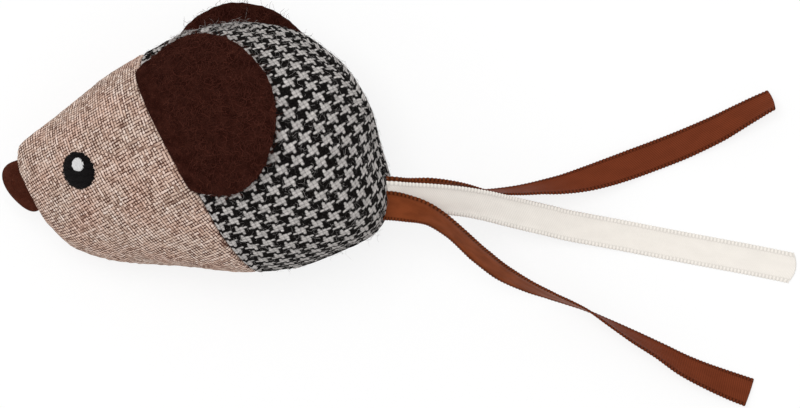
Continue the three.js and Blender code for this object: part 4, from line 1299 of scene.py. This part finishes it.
filling = {
    "voxel": 1.5 * mm, "lump": 0.35, "lumpSize": 6, "inset": 1.1, "sachetLump": 0.2, "sachetInset": 0.15,
    "wadDark": (0.7, 0.68, 0.63, 1), "wadPale": (0.9, 0.89, 0.86, 1), "wadDepth": 0.2 * mm,
    "muslinDark": (0.4, 0.34, 0.2, 1), "muslinPale": (0.7, 0.63, 0.45, 1), "muslinDepth": 0.1 * mm,
}


def fillingMaterial(name, roughness, sheen, group, share, dark, pale, depth, **values):
    look, tree, shader = newMaterial(name, roughness, sheen=sheen)
    place = tree.nodes.new("ShaderNodeTexCoord").outputs["Object"]
    inMillimetres = vectorOf(tree, "MULTIPLY", place, (1000, 1000, 1000))
    effect = useGroup(tree, group, Cloth=inMillimetres, **values)
    feed(tree, mixOf(tree, effect[share], dark, pale), shader.inputs["Base Color"])
    feed(tree, bumpOf(tree, effect["Height"], depth), shader.inputs["Normal"])
    return look


def makeFilling(name, node, look, lump, inset):
    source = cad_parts[node].data.copy()
    made = addObject(name, source)
    source.materials.clear()
    source.materials.append(look)
    even = made.modifiers.new("even", "REMESH")
    even.mode, even.voxel_size = "VOXEL", filling["voxel"]
    shaped = bpy.data.meshes.new_from_object(made.evaluated_get(bpy.context.evaluated_depsgraph_get()))
    made.modifiers.clear()
    made.data = shaped
    bpy.data.meshes.remove(source)
    count = len(shaped.vertices)
    place, normal = np.zeros(count * 3, np.float32), np.zeros(count * 3, np.float32)
    shaped.vertices.foreach_get("co", place)
    shaped.vertex_normals.foreach_get("vector", normal)
    place, normal = place.reshape(-1, 3), normal.reshape(-1, 3)
    dent = lump * (0.5 + 0.5 * np.clip(lumps(place / mm, filling["lumpSize"]), -1, 1)) + inset
    shaped.vertices.foreach_set("co", (place - normal * (dent * mm)[:, None]).astype(np.float32).ravel())
    shaped.polygons.foreach_set("use_smooth", [True] * len(shaped.polygons))
    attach(made, "body")
    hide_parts(node)


fibreFill = fillingMaterial(
    "fibreFill", 0.95, 0.2, feltFibre, "Fibre", filling["wadDark"], filling["wadPale"], filling["wadDepth"],
    **{"Fineness": 3.0, "Curl": 1.0})
muslin = fillingMaterial(
    "muslin", 0.9, 0.1, threadWeave, "Tone",
    filling["muslinDark"], filling["muslinPale"], filling["muslinDepth"],
    **{"Warp Pitch": 0.5, "Weft Pitch": 0.5, "Repeat": 2.0, "Wander": 0.06, "Slub": 2.0})
makeFilling("wad_front", "stuffing_front", fibreFill, filling["lump"], filling["inset"])
makeFilling("wad_rear", "stuffing_rear", fibreFill, filling["lump"], filling["inset"])
makeFilling("sachet", "catnip_sachet", muslin, filling["sachetLump"], filling["sachetInset"])
print("filling: two wads and the sachet")

# loose fibres

fuzz = {
    "wool": {"count": 2200, "farCount": 700, "length": (0.5, 2.0), "radius": 0.026, "lift": 0.4,
             "wave": 0.12},
    "ear": {"count": 2600, "farCount": 500, "length": (0.9, 2.4), "radius": 0.048, "lift": 0.14,
            "wave": 0.1},
    "stray": {"count": 80, "length": (1.0, 2.6), "radius": 0.034, "lift": 0.25, "wave": 0.3},
    "steps": 9, "sides": 3,
}


def strands(name, roots, normals, settings, look, tones):
    count = len(roots)
    tangent = draw.normal(size=(count, 3))
    tangent -= normals * (tangent * normals).sum(1, keepdims=True)
    tangent /= np.linalg.norm(tangent, axis=1, keepdims=True)
    sideways = np.cross(normals, tangent)
    length = draw.uniform(*settings["length"], count)[:, None] * mm
    rise = draw.uniform(0.15, 1.0, count)[:, None] * settings["lift"]
    curl = draw.normal(size=(count, 1)) * 0.8
    phase = draw.uniform(0, math.tau, (count, 1))
    lines = []
    for t in np.linspace(0, 1, fuzz["steps"]):
        wave = settings["wave"] * (np.sin(7.5 * t + phase) - np.sin(phase))
        off = rise * (1.6 * t - 1.1 * t * t) + 0.4 * np.abs(wave)
        aside = curl * t * t + wave
        rooted = normals * 0.06 * mm * (t == 0)
        lines.append(roots + length * (tangent * t + normals * off + sideways * aside) - rooted)
    lines = np.stack(lines, 1)
    lines[..., 2] = np.maximum(lines[..., 2], 0.06 * mm)
    taper = np.linspace(1, 0.45, fuzz["steps"])[None]
    radius = settings["radius"] * mm * taper * draw.uniform(0.7, 1.2, (count, 1))
    points, faces = tubes(lines, radius, fuzz["sides"])
    made = makeMesh(name, points, faces, None, look, np.repeat(tones, fuzz["steps"] * fuzz["sides"]))
    return made


def fromGrid(grid, count):  # random places on a grid, and which way is out
    rows, columns = grid.shape[:2]
    across = np.cross(np.gradient(grid, axis=0), np.gradient(grid, axis=1))
    normal = across / (np.linalg.norm(across, axis=-1, keepdims=True) + 1e-15)
    area = np.linalg.norm(across, axis=-1)
    pick = draw.choice(rows * columns, count, p=(area / area.sum()).ravel())
    jitter = draw.uniform(-0.5, 0.5, (count, 1)) * np.gradient(grid, axis=1).reshape(-1, 3)[pick]
    jitter += draw.uniform(-0.5, 0.5, (count, 1)) * np.gradient(grid, axis=0).reshape(-1, 3)[pick]
    return grid.reshape(-1, 3)[pick] + jitter, normal.reshape(-1, 3)[pick]


def facing(roots, normals, centre):
    flip = ((roots - centre) * normals).sum(1) < 0
    return np.where(flip[:, None], -normals, normals)


def woolFuzz(name, grid, count, settings, darkest, bias):
    roots, normals = fromGrid(grid, count)
    normals = facing(roots, normals, middleRow)
    tones = draw.uniform(darkest, 1, count) ** bias
    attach(strands(name, roots, normals, settings, woolStrand, tones), "body")


def earFuzz(name, roots, normals, body):
    tones = draw.uniform(0.2, 1, len(roots))
    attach(strands(name, roots, normals, fuzz["ear"], feltStrand, tones), body)


middleRow = toRow(np.array([10.0, 0, 0]))
for name, count in (("body_left", fuzz["wool"]["count"]), ("body_right", fuzz["wool"]["farCount"])):
    woolFuzz(f"{name}_fuzz", covers[name]["outer"][8:], count, fuzz["wool"], 0, 0.8)
topEdge = covers["body_left"]["outer"][15:31, 1:6]
woolFuzz("body_stray_fibres", topEdge, fuzz["stray"]["count"], fuzz["stray"], 0.45, 1)
roots, normals = fromGrid(nearEarTop[1:-2], fuzz["ear"]["count"])
normals = facing(roots, normals, middleRow)
free = ((roots / mm - toyOrigin) @ toyTurn)[:, 0] > 3.2
earFuzz("near_ear_fuzz", roots[free], normals[free], "ear_left")
roots, _ = fromGrid(farEarTop[-10:-2], fuzz["ear"]["farCount"])
free = (roots[:, :2] / mm - farCentre) @ lobeAxis > farEar["hinge"] + 2
earFuzz("far_ear_fuzz", roots[free], np.tile([0, 0, 1.0], (free.sum(), 1)), "ear_right")
print("fuzz: loose wool and felt fibres")
